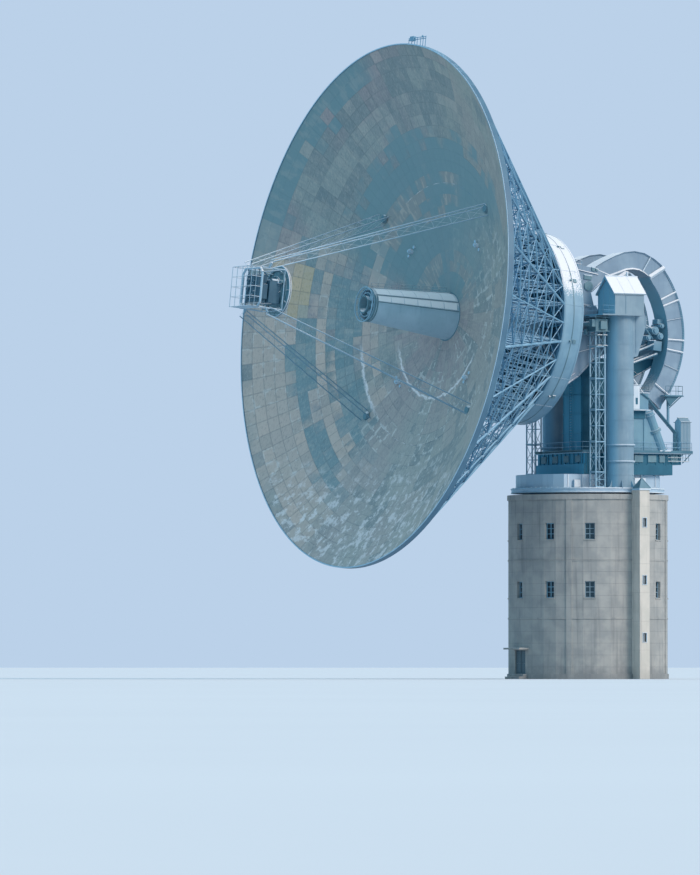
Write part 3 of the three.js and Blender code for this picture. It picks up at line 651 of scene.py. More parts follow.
def buildDish():
    sweep = math.tau / dish["sectors"]
    radii = spaced(dish["inner"], dish["radius"], dish["rings"] + 1)
    # the skin's thickness pushes its edge outwards, and the rim must stay the widest
    radii[-1] -= dish["thickness"] / 2
    split = dish["innerRings"]
    zones = [(radii[: split + 1], dish["innerColumns"]), (radii[split:], dish["outerColumns"])]
    for k in range(dish["sectors"]):
        mesh = bmesh.new()
        for ringRadii, columns in zones:
            lathe(mesh, [(r, dishY(r)) for r in ringRadii], columns, start=(k - 0.5) * sweep, sweep=sweep)
        for face in mesh.faces:
            face.normal_update()
            if face.normal.y > 0:
                face.normal_flip()
        panels = mesh.faces[:]
        bmesh.ops.inset_individual(mesh, faces=panels, thickness=dish["jointWidth"], depth=dish["jointDepth"])
        bmesh.ops.solidify(mesh, geom=mesh.faces[:], thickness=dish["thickness"])
        node = f"dish_panels_{k + 1}"
        addPiece(f"dishSkin{k + 1}", mesh, "reflector", "panels", soft=0.25, standsFor=[node])

    rim, rimY = dish["radius"], dishY(dish["radius"])
    mesh = bmesh.new()
    band(mesh, (rim - dish["lipWidth"], rim), (rimY - 0.01, rimY + dish["lipDepth"]), dish["rimSteps"])
    addPiece("rimBand", mesh, "reflector", "panels", "rim", weld=True, soft=0.5)
    mesh = bmesh.new()
    hoop(mesh, rim - 0.07, rimY + 0.02, 0.06, steps=dish["rimSteps"])
    addPiece("rimEdge", mesh, "reflector", "panels", "whiteTrim", weld=True, soft=0.5)


truss = {
    "ribs": 32,
    "inner": 4.5,
    "nodeRadii": [9.2, 12.3, 15.5, 18.7, 22.0, 25.3, 28.4, 31.3],
    "footY": -10.75,
    "footRadii": (10.8, 11.2, 11.4, 11.75),
    "tipRadius": 31.35,
    "tipDepth": 0.65,
    "skinGap": 0.3,
    "chord": 0.15,
    "web": 0.09,
    "hoop": 0.1,
    "lace": 0.065,
    "lightChord": 0.7,  # every second rib is lighter
    "lightWeb": 0.8,
}


def lowerAt(radius):
    footRadius = truss["footRadii"][-1]
    tipY = dishY(truss["tipRadius"]) + truss["tipDepth"]
    share = (radius - footRadius) / (truss["tipRadius"] - footRadius)
    return truss["footY"] + share * (tipY - truss["footY"])


def buildTruss():
    step = math.tau / truss["ribs"]
    radii = truss["nodeRadii"]
    chordFoot, webFoot, *lowFeet = truss["footRadii"]

    def behindSkin(radius, rib):
        return polar(radius, dishY(radius) + truss["skinGap"], rib * step)

    def atFoot(radius, rib):
        return polar(radius, truss["footY"], rib * step)

    def top(i, rib):
        return polar(radii[i] * 0.999, dishY(radii[i]) + truss["skinGap"], rib * step)

    def low(i, rib):
        return atFoot(lowFeet[i], rib) if i < 2 else polar(radii[i], lowerAt(radii[i]), rib * step)

    mesh = bmesh.new()
    last = len(radii) - 1
    for rib in (-2, -1, 0, 1):
        main = rib % 2 == 1
        chord = truss["chord"] * (1 if main else truss["lightChord"])
        web = truss["web"] * (1 if main else truss["lightWeb"])
        bar(mesh, atFoot(chordFoot, rib), behindSkin(truss["inner"], rib), chord)
        bar(mesh, low(1, rib), low(last, rib), chord, 6)
        for i in range(last):
            bar(mesh, top(i, rib), top(i + 1, rib), chord * 0.8)
            bar(mesh, top(i, rib), low(i + 1, rib), web)
            bar(mesh, low(i + 1, rib), top(i + 1, rib), web)
        bar(mesh, behindSkin(truss["inner"], rib), top(0, rib), chord * 0.8)
        bar(mesh, top(0, rib), atFoot(webFoot, rib), web)
        for i in range(last + 1):
            bar(mesh, top(i, rib), top(i, rib + 1), truss["hoop"])
            if i >= 2:
                bar(mesh, low(i, rib), low(i, rib + 1), truss["hoop"])
                bar(mesh, top(i, rib), low(i, rib + 1), truss["lace"], 3)
                bar(mesh, low(i, rib), top(i, rib + 1), truss["lace"], 3)
                bar(mesh, low(i - 1, rib), low(i, rib + 1), truss["lace"], 3)
                bar(mesh, low(i - 1, rib + 1), low(i, rib), truss["lace"], 3)
    sector = bpy.data.meshes.new("trussSector")
    mesh.to_mesh(sector)
    mesh.free()
    for k in range(dish["sectors"]):
        mesh = bmesh.new()
        mesh.from_mesh(sector)
        mesh.transform(Matrix.Rotation(k * math.tau / dish["sectors"], 4, "Y"))
        addPiece(f"trussSector{k + 1}", mesh, "reflector", "truss", standsFor=[f"back_truss_{k + 1}"])
    bpy.data.meshes.remove(sector)


buildDish()
buildTruss()
print("dish and truss made")


# ring girder, receiver tube, feed cone

ring = {
    "radius": 11.8,
    "front": -10.7,
    "rear": -7.9,
    "wall": 0.5,
    "plate": 0.3,
    "edge": 0.06,
    "steps": 128,
    "seams": 16,
    "hatches": (0.2, 0.62, 1.1, 1.75, 2.4, 4.1, 5.2),
    "stiffeners": 24,
    "stiffenerInner": 3.2,
    "rearBands": (5.6, 8.6),
}


def buildRing():
    outer, front, rear = ring["radius"], ring["front"], ring["rear"]
    inner, plate, edge = outer - ring["wall"], rear - ring["plate"], ring["edge"]
    middle = (front + rear) / 2
    mesh = bmesh.new()
    profile = [(0, rear), (outer - edge, rear), (outer, rear - edge), (outer, front + edge)]
    profile += [(outer - edge, front), (inner, front), (inner, plate), (0, plate)]
    lathe(mesh, profile, ring["steps"])
    addPiece("ringShell", mesh, "reflector", "ring", weld=True, soft=0.5, standsFor=["ring_girder"])

    mesh = bmesh.new()
    for along in (front + 0.2, rear - 0.2):
        hoop(mesh, outer, along, 0.05, 0.03, ring["steps"])
    for angle in turns(ring["seams"], 0.5):
        verts = block(mesh, (-0.03, 0.03), (front + 0.1, rear - 0.1), (outer - 0.1, outer + 0.03))
        spinVerts(mesh, verts, angle, "Y")
    addPiece("ringTrim", mesh, "reflector", "ring")

    mesh = bmesh.new()
    hoop(mesh, outer, middle, 0.05, 0.04, ring["steps"])
    for angle in ring["hatches"]:
        verts = block(mesh, (-0.24, 0.24), (middle + 0.2, middle + 0.6), about(outer, 0.1))
        verts += bar(mesh, (0, middle - 0.2, outer), (0, middle - 0.2, outer + 0.26), 0.13, 8)
        spinVerts(mesh, verts, angle, "Y")
    addPiece("ringHatches", mesh, "reflector", "ring", "machinery")

    mesh = bmesh.new()
    for angle in turns(ring["stiffeners"]):
        verts = block(mesh, (-0.05, 0.05), (rear - 1, rear - 0.28), (ring["stiffenerInner"], inner))
        spinVerts(mesh, verts, angle, "Y")
    for radius in ring["rearBands"]:
        band(mesh, about(radius, 0.06), (rear - 0.9, rear - 0.28), 96)
    addPiece("ringStiffeners", mesh, "reflector", "ring", "dark")


feedCone = {
    "base": 2.85,
    "tip": 2.0,
    "length": 11.5,
    "wall": 0.15,
    "tubeHoops": 6,
    "railAngles": (0.12, 0.96, 1.4),
    "handrailAngle": -0.12,
    "handrail": (0.4, 0.75),
    "posts": 12,
    "plates": ((0.14, 0.9), (1.02, 1.35)),
    "plateRows": 6,
    "plateLift": 0.035,
    "rungs": 16,
    "horns": (
        (0.9, 0.7, 0.32), (-0.8, 0.8, 0.28), (0.7, -0.9, 0.3),
        (-0.9, -0.7, 0.34), (1.35, -0.1, 0.2), (-1.35, 0.1, 0.2),
    ),
}
feedCone["start"] = 0.1 - dish["vertexAhead"]
feedCone["end"] = -dish["vertexAhead"] - feedCone["length"]


def coneRadius(along):
    share = (feedCone["start"] - along) / (feedCone["length"] + 0.1)
    return feedCone["base"] + share * (feedCone["tip"] - feedCone["base"])


def onCone(along, angle, lift=0.0):
    return polar(coneRadius(along) + lift, along, angle)


def buildCone():
    start, end = feedCone["start"], feedCone["end"]
    base, tip, wall = feedCone["base"], feedCone["tip"], feedCone["wall"]
    plate = ring["rear"] - ring["plate"]
    mesh = bmesh.new()
    shell = [(base - wall, start), (base, start), (tip + 0.02, end + 0.02), (tip - 0.03, end)]
    lathe(mesh, shell + [(tip - wall, end)], 96, closed=True)
    addPiece("coneShell", mesh, "reflector", "feed", weld=True, soft=0.5, standsFor=["feed_cone"])

    mesh = bmesh.new()
    band(mesh, (base - wall, base), (plate, start), 64)
    for along in spaced(start + 0.4, plate - 0.1, feedCone["tubeHoops"]):
        hoop(mesh, base, along, 0.08, 0.12, 64)
    addPiece("tubeShell", mesh, "reflector", "feed", soft=0.5, standsFor=["receiver_tube"])

    # rails along the cone, and a handrail on its upper left
    mesh = bmesh.new()
    for along, height in ((start - 0.12, 0.16), (end + 0.35, 0.05), (end + 0.05, 0.09)):
        hoop(mesh, coneRadius(along), along, 0.09, height)
    for angle in feedCone["railAngles"]:
        bar(mesh, onCone(start - 0.3, angle, 0.06), onCone(end + 0.3, angle, 0.06), 0.06, 6)
    angle, heights = feedCone["handrailAngle"], feedCone["handrail"]
    for along in spaced(start - 0.5, end + 0.5, feedCone["posts"]):
        foot = onCone(along, angle)
        bar(mesh, foot, foot + Vector((0, 0, heights[-1])), 0.025)
    for lift in heights:
        ends = [onCone(along, angle) + Vector((0, 0, lift)) for along in (start - 0.5, end + 0.4)]
        bar(mesh, *ends, 0.025)
    addPiece("coneRails", mesh, "reflector", "feed", "machinery")

    # thin cover plates along the top, bent to the cone; their snow is painted whiter than elsewhere, as
    # painted light
    mesh = bmesh.new()
    lift = feedCone["plateLift"]
    for first, last in feedCone["plates"]:
        for i in range(feedCone["plateRows"]):
            shares = [(i + t) / feedCone["plateRows"] for t in (0.02, 0.98)]
            near, far = (start - 0.5 - (feedCone["length"] - 0.8) * share for share in shares)
            corners = ((near, first), (far, first), (far, last), (near, last))
            mesh.faces.new([mesh.verts.new(onCone(along, angle, lift)) for along, angle in corners])
    bmesh.ops.subdivide_edges(mesh, edges=mesh.edges[:], cuts=3, use_grid_fill=True)
    for vert in mesh.verts:
        stretch = (coneRadius(vert.co.y) + lift) / math.hypot(vert.co.x, vert.co.z)
        vert.co.x *= stretch
        vert.co.z *= stretch
    bmesh.ops.solidify(mesh, geom=mesh.faces[:], thickness=0.05)
    addPiece("conePlates", mesh, "reflector", "feed", "conePlates", soft=0.4)

    # rings, rungs and horns in the cone's open front
    mesh = bmesh.new()
    inner, outer = tip - 0.1, tip + 0.12
    for along, radius in ((end - 0.02, inner), (end - 0.42, outer), (end - 0.1, 1.45)):
        hoop(mesh, radius, along, 0.05, steps=48)
    for angle in turns(feedCone["rungs"]):
        bar(mesh, polar(1.2, end + 0.4, angle), polar(inner, end - 0.02, angle), 0.035)
        bar(mesh, polar(inner, end, angle), polar(outer, end - 0.42, angle), 0.03)
    for x, z, radius in feedCone["horns"]:
        bar(mesh, (x, end + 0.5, z), (x, end - 0.12, z), radius * 0.7, 20, radius)
    addPiece("coneFront", mesh, "reflector", "feed", "brightSteel")


buildRing()
buildCone()
print("ring and cone made")


# sub-reflector, its cabin and the legs

subReflector = {
    "radius": 3.1,
    "ahead": 23.85,
    "spokes": 12,
    "profile": (  # radius and depth, from the middle of the back round to the front
        (0, 0.45), (0.6, 0.43), (1.1, 0.38), (1.7, 0.29), (2.2, 0.2), (2.7, 0.13), (3.08, 0.09), (3.1, 0.04),
        (3.1, -0.1), (3.05, -0.15), (2.3, -0.33), (1.7, -0.5), (0, -0.52),
    ),
}
cabin = {
    "half": 2.5,
    "front": 27.6,
    "gallery": 1.5,
    "posts": (-0.96, -0.48, 0, 0.48, 0.96),
    "crossBars": (-1.9, -1.2, 0.2, 1.5),
    "uprights": (-1.2, 0.4, 1.5),
    "drums": ((-1.1, 0.9, 0.3), (-1.1, -0.1, 0.34), (-1.0, -1.1, 0.28), (0.2, 0.7, 0.24), (0.3, -0.6, 0.3)),
}


def buildSubReflector():
    y = -(dish["vertexAhead"] + subReflector["ahead"])
    mesh = bmesh.new()
    lathe(mesh, [(radius, y + depth) for radius, depth in subReflector["profile"]], 96)
    addPiece(
        "subReflectorShell",
        mesh,
        "reflector",
        "panels",
        "machinery",
        weld=True,
        soft=0.4,
        standsFor=["sub_reflector"],
    )

    mesh = bmesh.new()
    hoop(mesh, subReflector["radius"] - 0.05, y - 0.05, 0.15, 0.05)
    addPiece("subReflectorRim", mesh, "reflector", "panels", "whiteTrim", weld=True, soft=0.5)

    mesh = bmesh.new()
    for angle in turns(subReflector["spokes"]):
        bar(mesh, polar(0.5, y - 0.55, angle), polar(2.95, y - 0.22, angle), 0.07)
        bar(mesh, polar(1.7, y - 0.52, angle), polar(1.7, y - 0.9, angle + 0.2), 0.04)
    for radius, along in ((1.7, y - 0.56), (2.5, y - 0.36)):
        hoop(mesh, radius, along, 0.06, steps=64)
    for sx in (-1, 1):
        for sz in (-1, 1):
            corner = (sx * 2.2, y - 0.7, sz * 2.2)
            bar(mesh, corner, (sx * 0.7, y - 0.5, sz * 2), 0.07, 6)
            bar(mesh, corner, (sx * 2, y - 0.5, sz * 0.7), 0.07, 6)
    block(mesh, (-0.9, 0.9), (y - 0.85, y - 0.5), (0.9, 1.5))
    roundedBlock(mesh, (0.5, 2.3), (y - 0.95, y - 0.5), (0.85, 1.15))
    bar(mesh, (0.2, y - 0.7, -0.4), (2.3, y - 0.45, 0.7), 0.05, 6)
    addPiece("subReflectorFrame", mesh, "reflector", "truss", "machinery")


# square cabin frame with cut corners, its machinery and an outer gallery
def buildCabin():
    half = cabin["half"]
    reach = half * 0.96
    rear = -(dish["vertexAhead"] + subReflector["ahead"]) - 0.55
    front = -(dish["vertexAhead"] + cabin["front"])
    gallery = front - cabin["gallery"]
    mesh = bmesh.new()
    squareLoop(mesh, half * 0.98, rear - 0.1, 0.06)
    side, cut = half * 0.94, half * 0.72
    for out, along in (((0, -1), (1, 0)), ((1, 0), (0, 1)), ((0, 1), (-1, 0)), ((-1, 0), (0, -1))):
        out, along = Vector((out[0], 0, out[1])), Vector((along[0], 0, along[1]))
        middle = Vector((0, front + 0.1, 0))
        ends = [middle + out * side + along * cut * way for way in (-1, 1)]
        bar(mesh, *ends, 0.15, 10)
        bar(mesh, ends[1], middle + out * cut + along * side, 0.15, 10)
    for x, z in ((-half, -half), (half, -half), (half, half), (-half, half)):
        bar(mesh, (x * 0.96, rear, z * 0.96), (x * 0.96, front, z * 0.96), 0.07, 6)
        bar(mesh, (x * 0.96, rear, z * 0.96), (x * 0.3, front + 0.2, z * 0.96), 0.04)
    addPiece("cabinFrame", mesh, "reflector", "truss", "legs", standsFor=["feed_cabin"])

    mesh = bmesh.new()
    for z in cabin["crossBars"]:
        bar(mesh, (-side, front + 0.12, z), (side, front + 0.12, z), 0.045)
    for x in cabin["uprights"]:
        bar(mesh, (x, front + 0.12, -side), (x, front + 0.12, side), 0.05)
    roundedBlock(mesh, (-1.75, 1), (front + 0.25, front + 1.6), (-1.7, 1.7), 0.1)
    roundedBlock(mesh, (1.05, 1.6), (front + 0.35, front + 1.4), (-1.3, 0.5), 0.06)
    roundedBlock(mesh, (-1.1, 1.6), (front + 1.6, rear), (-1.7, 1.05), 0.08)
    for x, z, radius in cabin["drums"]:
        bar(mesh, (x, front + 0.08, z), (x, front + 0.3, z), radius, 20)
        hoop(mesh, radius * 0.72, front + 0.07, 0.03, steps=24, centre=(x, 0, z))
    for sx, z0, z1 in ((1, 1.9, 0.4), (-1, -1.9, -0.5), (1, -2.1, -1.6)):
        bar(mesh, (sx * 2.2, front + 0.2, z0), (sx * 1.1, rear - 0.1, z1), 0.07, 8)
    # painted shade: the machinery inside the cabin is painted darker
    addPiece("cabinMachinery", mesh, "reflector", "truss", "shadedCabinInside")
    mesh = bmesh.new()
    roundedBlock(mesh, (0.2, 1.66), (front + 1.9, rear + 0.02), (1.03, 1.24), 0.07)
    roundedBlock(mesh, (1.1, 1.7), (rear - 0.55, rear + 0.02), (0.75, 1.1), 0.07)
    addPiece("cabinSnow", mesh, "reflector", "truss", "whiteTrim", soft=0.5)

    mesh = bmesh.new()
    posts = [half * share for share in cabin["posts"]]
    feet = [(p, s * reach) for p in posts for s in (-1, 1)] + [(s * reach, p) for p in posts for s in (-1, 1)]
    for x, z in feet:
        bar(mesh, (x, front, z), (x, gallery + 0.05, z), 0.028)
    for along in (gallery + 0.1, gallery + 0.75):
        squareLoop(mesh, half * 0.97, along, 0.032)
    for p in posts:
        bar(mesh, (p, gallery + 0.1, -reach), (p, gallery + 0.1, reach), 0.03)
        bar(mesh, (-reach, gallery + 0.1, p), (reach, gallery + 0.1, p), 0.03)
    block(mesh, (-half * 0.95, half * 0.95), (gallery + 0.1, front), (-reach - 0.03, -reach + 0.03))
    addPiece("cabinGallery", mesh, "reflector", "truss", "legs")


leg = {
    "footRadius": 17.3,
    "headHalf": 2.9,
    "footSpread": 0.85,
    "headSpread": 0.6,
    "chord": 0.065,
    "lace": 0.013,
    "bays": 12,
}


def buildLegs():
    front = -(dish["vertexAhead"] + cabin["front"])
    for i, quadrant in enumerate((1, 3, 5, 7)):
        angle = quadrant * math.pi / 4
        sx, sz = (1 if math.sin(angle) > 0 else -1), (1 if math.cos(angle) > 0 else -1)
        foot = polar(leg["footRadius"], dishY(leg["footRadius"]) - 0.05, angle)
        head = Vector((sx * leg["headHalf"], front + 0.9, sz * leg["headHalf"]))
        run = (head - foot).normalized()
        side = run.cross(polar(1, 0, angle)).normalized()
        lift = side.cross(run).normalized()

        def chordPoint(corner, share):
            spread = leg["footSpread"] + (leg["headSpread"] - leg["footSpread"]) * share
            turn = math.tau * corner / 3 + math.pi / 2
            return foot + (head - foot) * share + (side * math.cos(turn) + lift * math.sin(turn)) * spread

        mesh = bmesh.new()
        for corner in range(3):
            bar(mesh, chordPoint(corner, 0), chordPoint(corner, 1), leg["chord"], 6)
            for bay in range(leg["bays"]):
                near, far = bay / leg["bays"], (bay + 1) / leg["bays"]
                other = (corner + 1) % 3
                bar(mesh, chordPoint(corner, near), chordPoint(other, far), leg["lace"], 3)
                bar(mesh, chordPoint(corner, far), chordPoint(other, far), leg["lace"], 3)
        outwards = Vector((sx, 0, sz))
        bar(mesh, head - outwards * 0.5, head + outwards * 0.1, 0.12, 8)
        # painted shade: the lower pair of legs is painted darker than the upper pair
        finish = "legs" if sz > 0 else "shadedLowerLegs"
        addPiece(f"legLattice{i + 1}", mesh, "reflector", "truss", finish, standsFor=[f"feed_leg_{i + 1}"])


buildSubReflector()
buildCabin()
buildLegs()
print("feed head and legs made")


# elevation arcs and hub, with outlines in the reflector's y and z

arc = {
    "inner": 2.65,
    "outer": 5.4,
    "centre": -2.1,
    "outerRadius": 12.75,
    "innerRadius": 10.35,
    "degrees": (46, 44, -36),  # where its outer and inner edges begin, and where both end
    "steps": 41,
    "flange": 0.18,
    "recess": 0.2,
    "front": [
        (-3.3, 7.95), (-1.85, 8.98), (-0.45, 9.8), (0.9, 10.45),
        (2.35, 10.78), (3.8, 10.72), (5.3, 10.2), (6.4, 9.6),
    ],
    "heel": [(8.05, -8.1), (5.15, -6.1)],
    "neck": [(4.85, 7.85), (4.05, 8.3), (3.3, 8.54), (2.4, 8.55), (1.5, 8.35), (0.45, 7.86), (-0.8, 7.3)],
    "seams": (31, 26.3, 3.3, -3.4, -29),
    "seamBolts": 7,
    "neckSeams": ((3.8, 8.4, 4.75, 10.3, 0.09), (4.85, 7.85, 6.85, 9.3, 0.3)),
    "webs": (16, -14),
    "edgeBolts": 60,
    "braces": (  # y and z of both ends, and the radius
        (1.6, -2.7, 6.6, -0.2, 0.14), (2.2, -3.6, 7.2, -1.3, 0.14),
        (1.2, 3.4, 7.4, 1.2, 0.1), (2.4, 4.4, 6.4, 0.4, 0.09),
    ),
    "drums": ((6.6, 1.5, 0.5), (7.4, 0.9, 0.42), (5.7, 0.5, 0.34), (7.5, 2.2, 0.3), (4.6, 0.1, 0.22)),
    "boxes": (((3.2, 4.7), (6.7, 7.9), (-0.9, 0.3), 0.05), ((3.4, 4.6), (7, 7.9), (2.4, 3), 0.05)),
}


def onArc(radius, degrees):
    turn = math.radians(degrees)
    return arc["centre"] + radius * math.cos(turn), radius * math.sin(turn)


def buildArcs():
    inner, outer = arc["innerRadius"], arc["outerRadius"]
    first, inwards, last = arc["degrees"]
    outline = arc["front"] + [onArc(outer, degrees) for degrees in spaced(first, last, arc["steps"])]
    outline += arc["heel"] + [onArc(inner, degrees) for degrees in spaced(last, inwards, arc["steps"])]
    outline += arc["neck"]
    for side, sign in bothSides.items():
        mesh = bmesh.new()
        slab(mesh, outline, "x", across(sign, arc["inner"], arc["outer"]))
        bmesh.ops.recalc_face_normals(mesh, faces=mesh.faces)
        ends = [face for face in mesh.faces if abs(face.normal.x) > 0.9]
        bmesh.ops.inset_region(mesh, faces=ends, thickness=arc["flange"], depth=-arc["recess"])
        node = f"elevation_arc_{side.lower()}"
        addPiece(f"arc{side}", mesh, "reflector", "arcs", soft=0.35, standsFor=[node])

        mesh = bmesh.new()
        for x in across(sign, arc["inner"] + 0.06, arc["outer"] - 0.06):
            for degrees in arc["seams"]:
                bar(mesh, (x, *onArc(inner, degrees)), (x, *onArc(outer, degrees)), 0.12)
            flatBars(mesh, x, arc["neckSeams"])
        for degrees in arc["seams"]:
            spot = onArc(outer + 0.03, degrees)
            for x in spaced(sign * (arc["inner"] + 0.25), sign * (arc["outer"] - 0.25), arc["seamBolts"]):
                bar(mesh, (x - 0.05, *spot), (x + 0.05, *spot), 0.09, 6)
        addPiece(f"arcSeams{side}", mesh, "reflector", "arcs", "whiteTrim")

        # machinery and pipes inside the arc, with the braces that carry them
        mesh = bmesh.new()
        for x in (3, 4.9):
            flatBars(mesh, sign * x, arc["braces"])
        for y, z, radius in arc["drums"]:
            bar(mesh, (sign * 2.9, y, z), (sign * 5, y, z), radius, 20)
            bar(mesh, (sign * 5, y, z), (sign * 5.2, y, z), radius * 0.6, 16)
        roundedBlocks(mesh, arc["boxes"], sign)
        addPiece(f"arcMachinery{side}", mesh, "reflector", "arcs", "sideFrame", soft=0.5)

        # stiffening plates on the recessed sides, and the bolts along their edges
        mesh = bmesh.new()
        for x in across(sign, arc["inner"] + 0.08, arc["outer"] - 0.08):
            for degrees in arc["webs"]:
                bar(mesh, (x, *onArc(inner + 0.1, degrees)), (x, *onArc(outer - 0.1, degrees)), 0.05)
            for radius, highest, size in ((outer - 0.12, 44, 0.06), (inner + 0.12, 40, 0.05)):
                for degrees in spaced(highest, last + 1, arc["edgeBolts"]):
                    spot = onArc(radius, degrees)
                    bar(mesh, (x - 0.03, *spot), (x + 0.03, *spot), size, 6)
        addPiece(f"arcRibs{side}", mesh, "reflector", "arcs", "mount")


hub = {
    "ribs": (  # y and z of both ends, and the radius
        (ring["rear"], -7.6, -4.6, -5.2, 0.09), (ring["rear"], -3.9, -1.4, -1.5, 0.09),
        (ring["rear"], 0, -1.7, 0, 0.09), (ring["rear"], 3.6, -3.4, 3.2, 0.09),
        (ring["rear"], 7.6, -2.6, 7.2, 0.09), (-5.6, -6.4, -5.6, 8.1, 0.09),
        (ring["rear"], -8.4, -4.2, -5.55, 0.11), (-4.2, -5.55, -1.6, -2.55, 0.11),
        (-3.35, 5, -2.15, 6.25, 0.11),
    ),
    "bearingRadius": 1.45,
    "bearingBolts": 12,
    "railX": 2.5,
    "rails": (8, 8.55, 9.05),
    "railPosts": 6,
    "pipes": (-1.6, 0, 1.6),
    "cabinets": (
        (-4.6, -3.5, 6.4, 6.9), (-3.6, -3.1, 7.55, 7.95), (-3, -2.7, 7.6, 7.85), (-5.1, -4.9, 4.9, 6.2),
    ),
    "drum": (-3.85, 5.65),
    "trays": (3.1, 3.35),
    "collars": ((4.9, 0.14, 0.12), (3.2, 0.14, 0.12), (1.1, 0.22, 0.2)),  # x, half width, height
    "shaftRadius": 1.12,
}


def buildHub():
    rear = ring["rear"]
    mesh = bmesh.new()
    for sign in bothSides.values():
        face = sign * (arc["outer"] + 0.04)
        flatBars(mesh, face, hub["ribs"])
        hoop(mesh, hub["bearingRadius"], face, 0.1, 0.3, 40, "X")
        for y, z in circle(hub["bearingRadius"], hub["bearingBolts"]):
            bar(mesh, (face, y, z), (face + sign * 0.16, y, z), 0.08, 6)
        x, rails = sign * hub["railX"], hub["rails"]
        for z in rails:
            bar(mesh, (x, rear + 0.1, z), (x, -3.3, z), 0.04)
        for y in spaced(rear + 0.1, -3.3, hub["railPosts"]):
            bar(mesh, (x, y, rails[0] - 0.05), (x, y, rails[-1]), 0.035)
    for x in hub["pipes"]:
        bar(mesh, (x, rear + 0.2, 6.6), (x, -5.2, 5.6), 0.16, 10)
        bar(mesh, (x, -5.25, 5.9), (x, -5.25, -5.8), 0.1, 8)
    addPiece("hubRibs", mesh, "reflector", "arcs")

    # cabinets, a drum and a cable tray on the cheeks, and the snow on them
    mesh = bmesh.new()
    snow = bmesh.new()
    for sign in bothSides.values():
        reach = across(sign, arc["outer"] - 0.02, arc["outer"] + 0.14)
        for y0, y1, z0, z1 in hub["cabinets"]:
            roundedBlock(mesh, reach, (y0, y1), (z0, z1), 0.03)
            block(snow, reach, (y0 - 0.04, y1 + 0.04), (z1, z1 + 0.09))
        bar(mesh, (reach[0], *hub["drum"]), (reach[1], *hub["drum"]), 0.6, 28)
        hoop(mesh, 0.45, sum(reach) / 2, 0.09, steps=28, axis="X", centre=(0, *hub["drum"]))
        for z in hub["trays"]:
            bar(mesh, (sign * 5.46, -6.5, z), (sign * 5.46, -3.1, z), 0.05)
    addPiece("hubCabinets", mesh, "reflector", "arcs", "machinery")
    addPiece("hubSnow", snow, "reflector", "arcs", "whiteTrim")

    mesh = bmesh.new()
    for x, half, height in hub["collars"]:
        for sign in bothSides.values():
            hoop(mesh, hub["shaftRadius"], sign * x, half, height, 48, "X")
    addPiece("shaftCollars", mesh, "reflector", "mount")


buildArcs()
buildHub()
print("arcs and hub made")


# round tower with windows and entrance, lift tower

tower = {
    "radius": 9.8,
    "facets": 36,
    "foundationTop": 0.6,
    "wallTop": 21.9,
    "floors": (7.7, 14.8),
    "bands": ((0, 0.62, 0.14), (7.3, 7.5, 0.05), (14.4, 14.6, 0.05), (21.9, 22.52, 0.12)),  # low, high, reach
}
window = {"sill": 2.2, "width": 1.2, "height": 2.0, "facets": (-3, 0, 3), "bars": (0.05, 0.68, 1.32, 1.95)}
door = {
    "width": 2.4,
    "height": 2.9,
    "face": -9.5,
    "panels": ((0.25, 1.3), (1.45, 2.65)),
    "handle": (1.15, 1.6),
    "canopy": ((-1.9, 1.9), (-11, -9.5), (3.6, 3.82), 0.04),
    "steps": (((-1.7, 1.7), (-10.9, -9.7), (0, 0.3), 0.04), ((-1.7, 1.7), (-10.3, -9.7), (0.3, 0.6), 0.04)),
}


def buildTower():
    radius = tower["radius"]
    apothem = radius * math.cos(math.pi / tower["facets"])
    half = window["width"] / 2
    frames, sills = bmesh.new(), bmesh.new()
    places = [(quarter, facet) for quarter in range(4) for facet in window["facets"]]
    places.remove((0, 0))  # the lift tower stands there
    for quarter, facet in places:
        angle = quarter * math.pi / 2 + facet * math.tau / tower["facets"]
        for level in tower["floors"]:
            low = level + window["sill"]
            verts = []
            for y in (0.05 - half, 0, half - 0.05):
                reach = about(y, 0.045)
                verts += block(frames, (apothem - 0.45, apothem - 0.35), reach, (low, low + window["height"]))
            for z in window["bars"]:
                reach = (low + z - 0.04, low + z + 0.04)
                verts += block(frames, (apothem - 0.46, apothem - 0.34), (-half, half), reach)
            spinVerts(frames, verts, angle, "Z")
            sill = (apothem - 0.3, apothem + 0.1)
            verts = block(sills, sill, about(0, half + 0.12), (low - 0.12, low))
            spinVerts(sills, verts, angle, "Z")
    addPiece("windowFrames", frames, "base", "door", "mount")
    addPiece("windowSills", sills, "base", "concrete")

    # joint strips between the wall quarters, a plinth, bands at the floors and the roof edge
    mesh = bmesh.new()
    strip = (tower["foundationTop"], tower["wallTop"])
    for angle in turns(4, 0.5):
        verts = block(mesh, (radius - 0.25, radius + 0.08), (-0.35, 0.35), strip)
        spinVerts(mesh, verts, angle, "Z")
    for low, high, reach in tower["bands"]:
        band(mesh, (radius - 0.3, radius + reach), (low, high), 72, "Z")
    addPiece("towerBands", mesh, "base", "concrete")

    # entrance door leaves, canopy and steps
    mesh = bmesh.new()
    low, high, face = tower["foundationTop"], tower["foundationTop"] + door["height"], door["face"]
    for sign in bothSides.values():
        middle = sign * door["width"] / 4
        for z0, z1 in door["panels"]:
            roundedBlock(mesh, about(middle, 0.42), (face - 0.04, face), (low + z0, low + z1), 0.02)
        ends = [(sign * 0.12, face - 0.05, low + z) for z in door["handle"]]
        bar(mesh, *ends, 0.03, 6)
    for x in (0.06 - door["width"] / 2, 0, door["width"] / 2 - 0.06):
        block(mesh, about(x, 0.05), (face - 0.05, face), (low + 0.02, high - 0.02))
    addPiece("doorLeaves", mesh, "base", "door")
    mesh = bmesh.new()
    roundedBlocks(mesh, [door["canopy"], *door["steps"]])
    addPiece("doorCanopy", mesh, "base", "concrete")


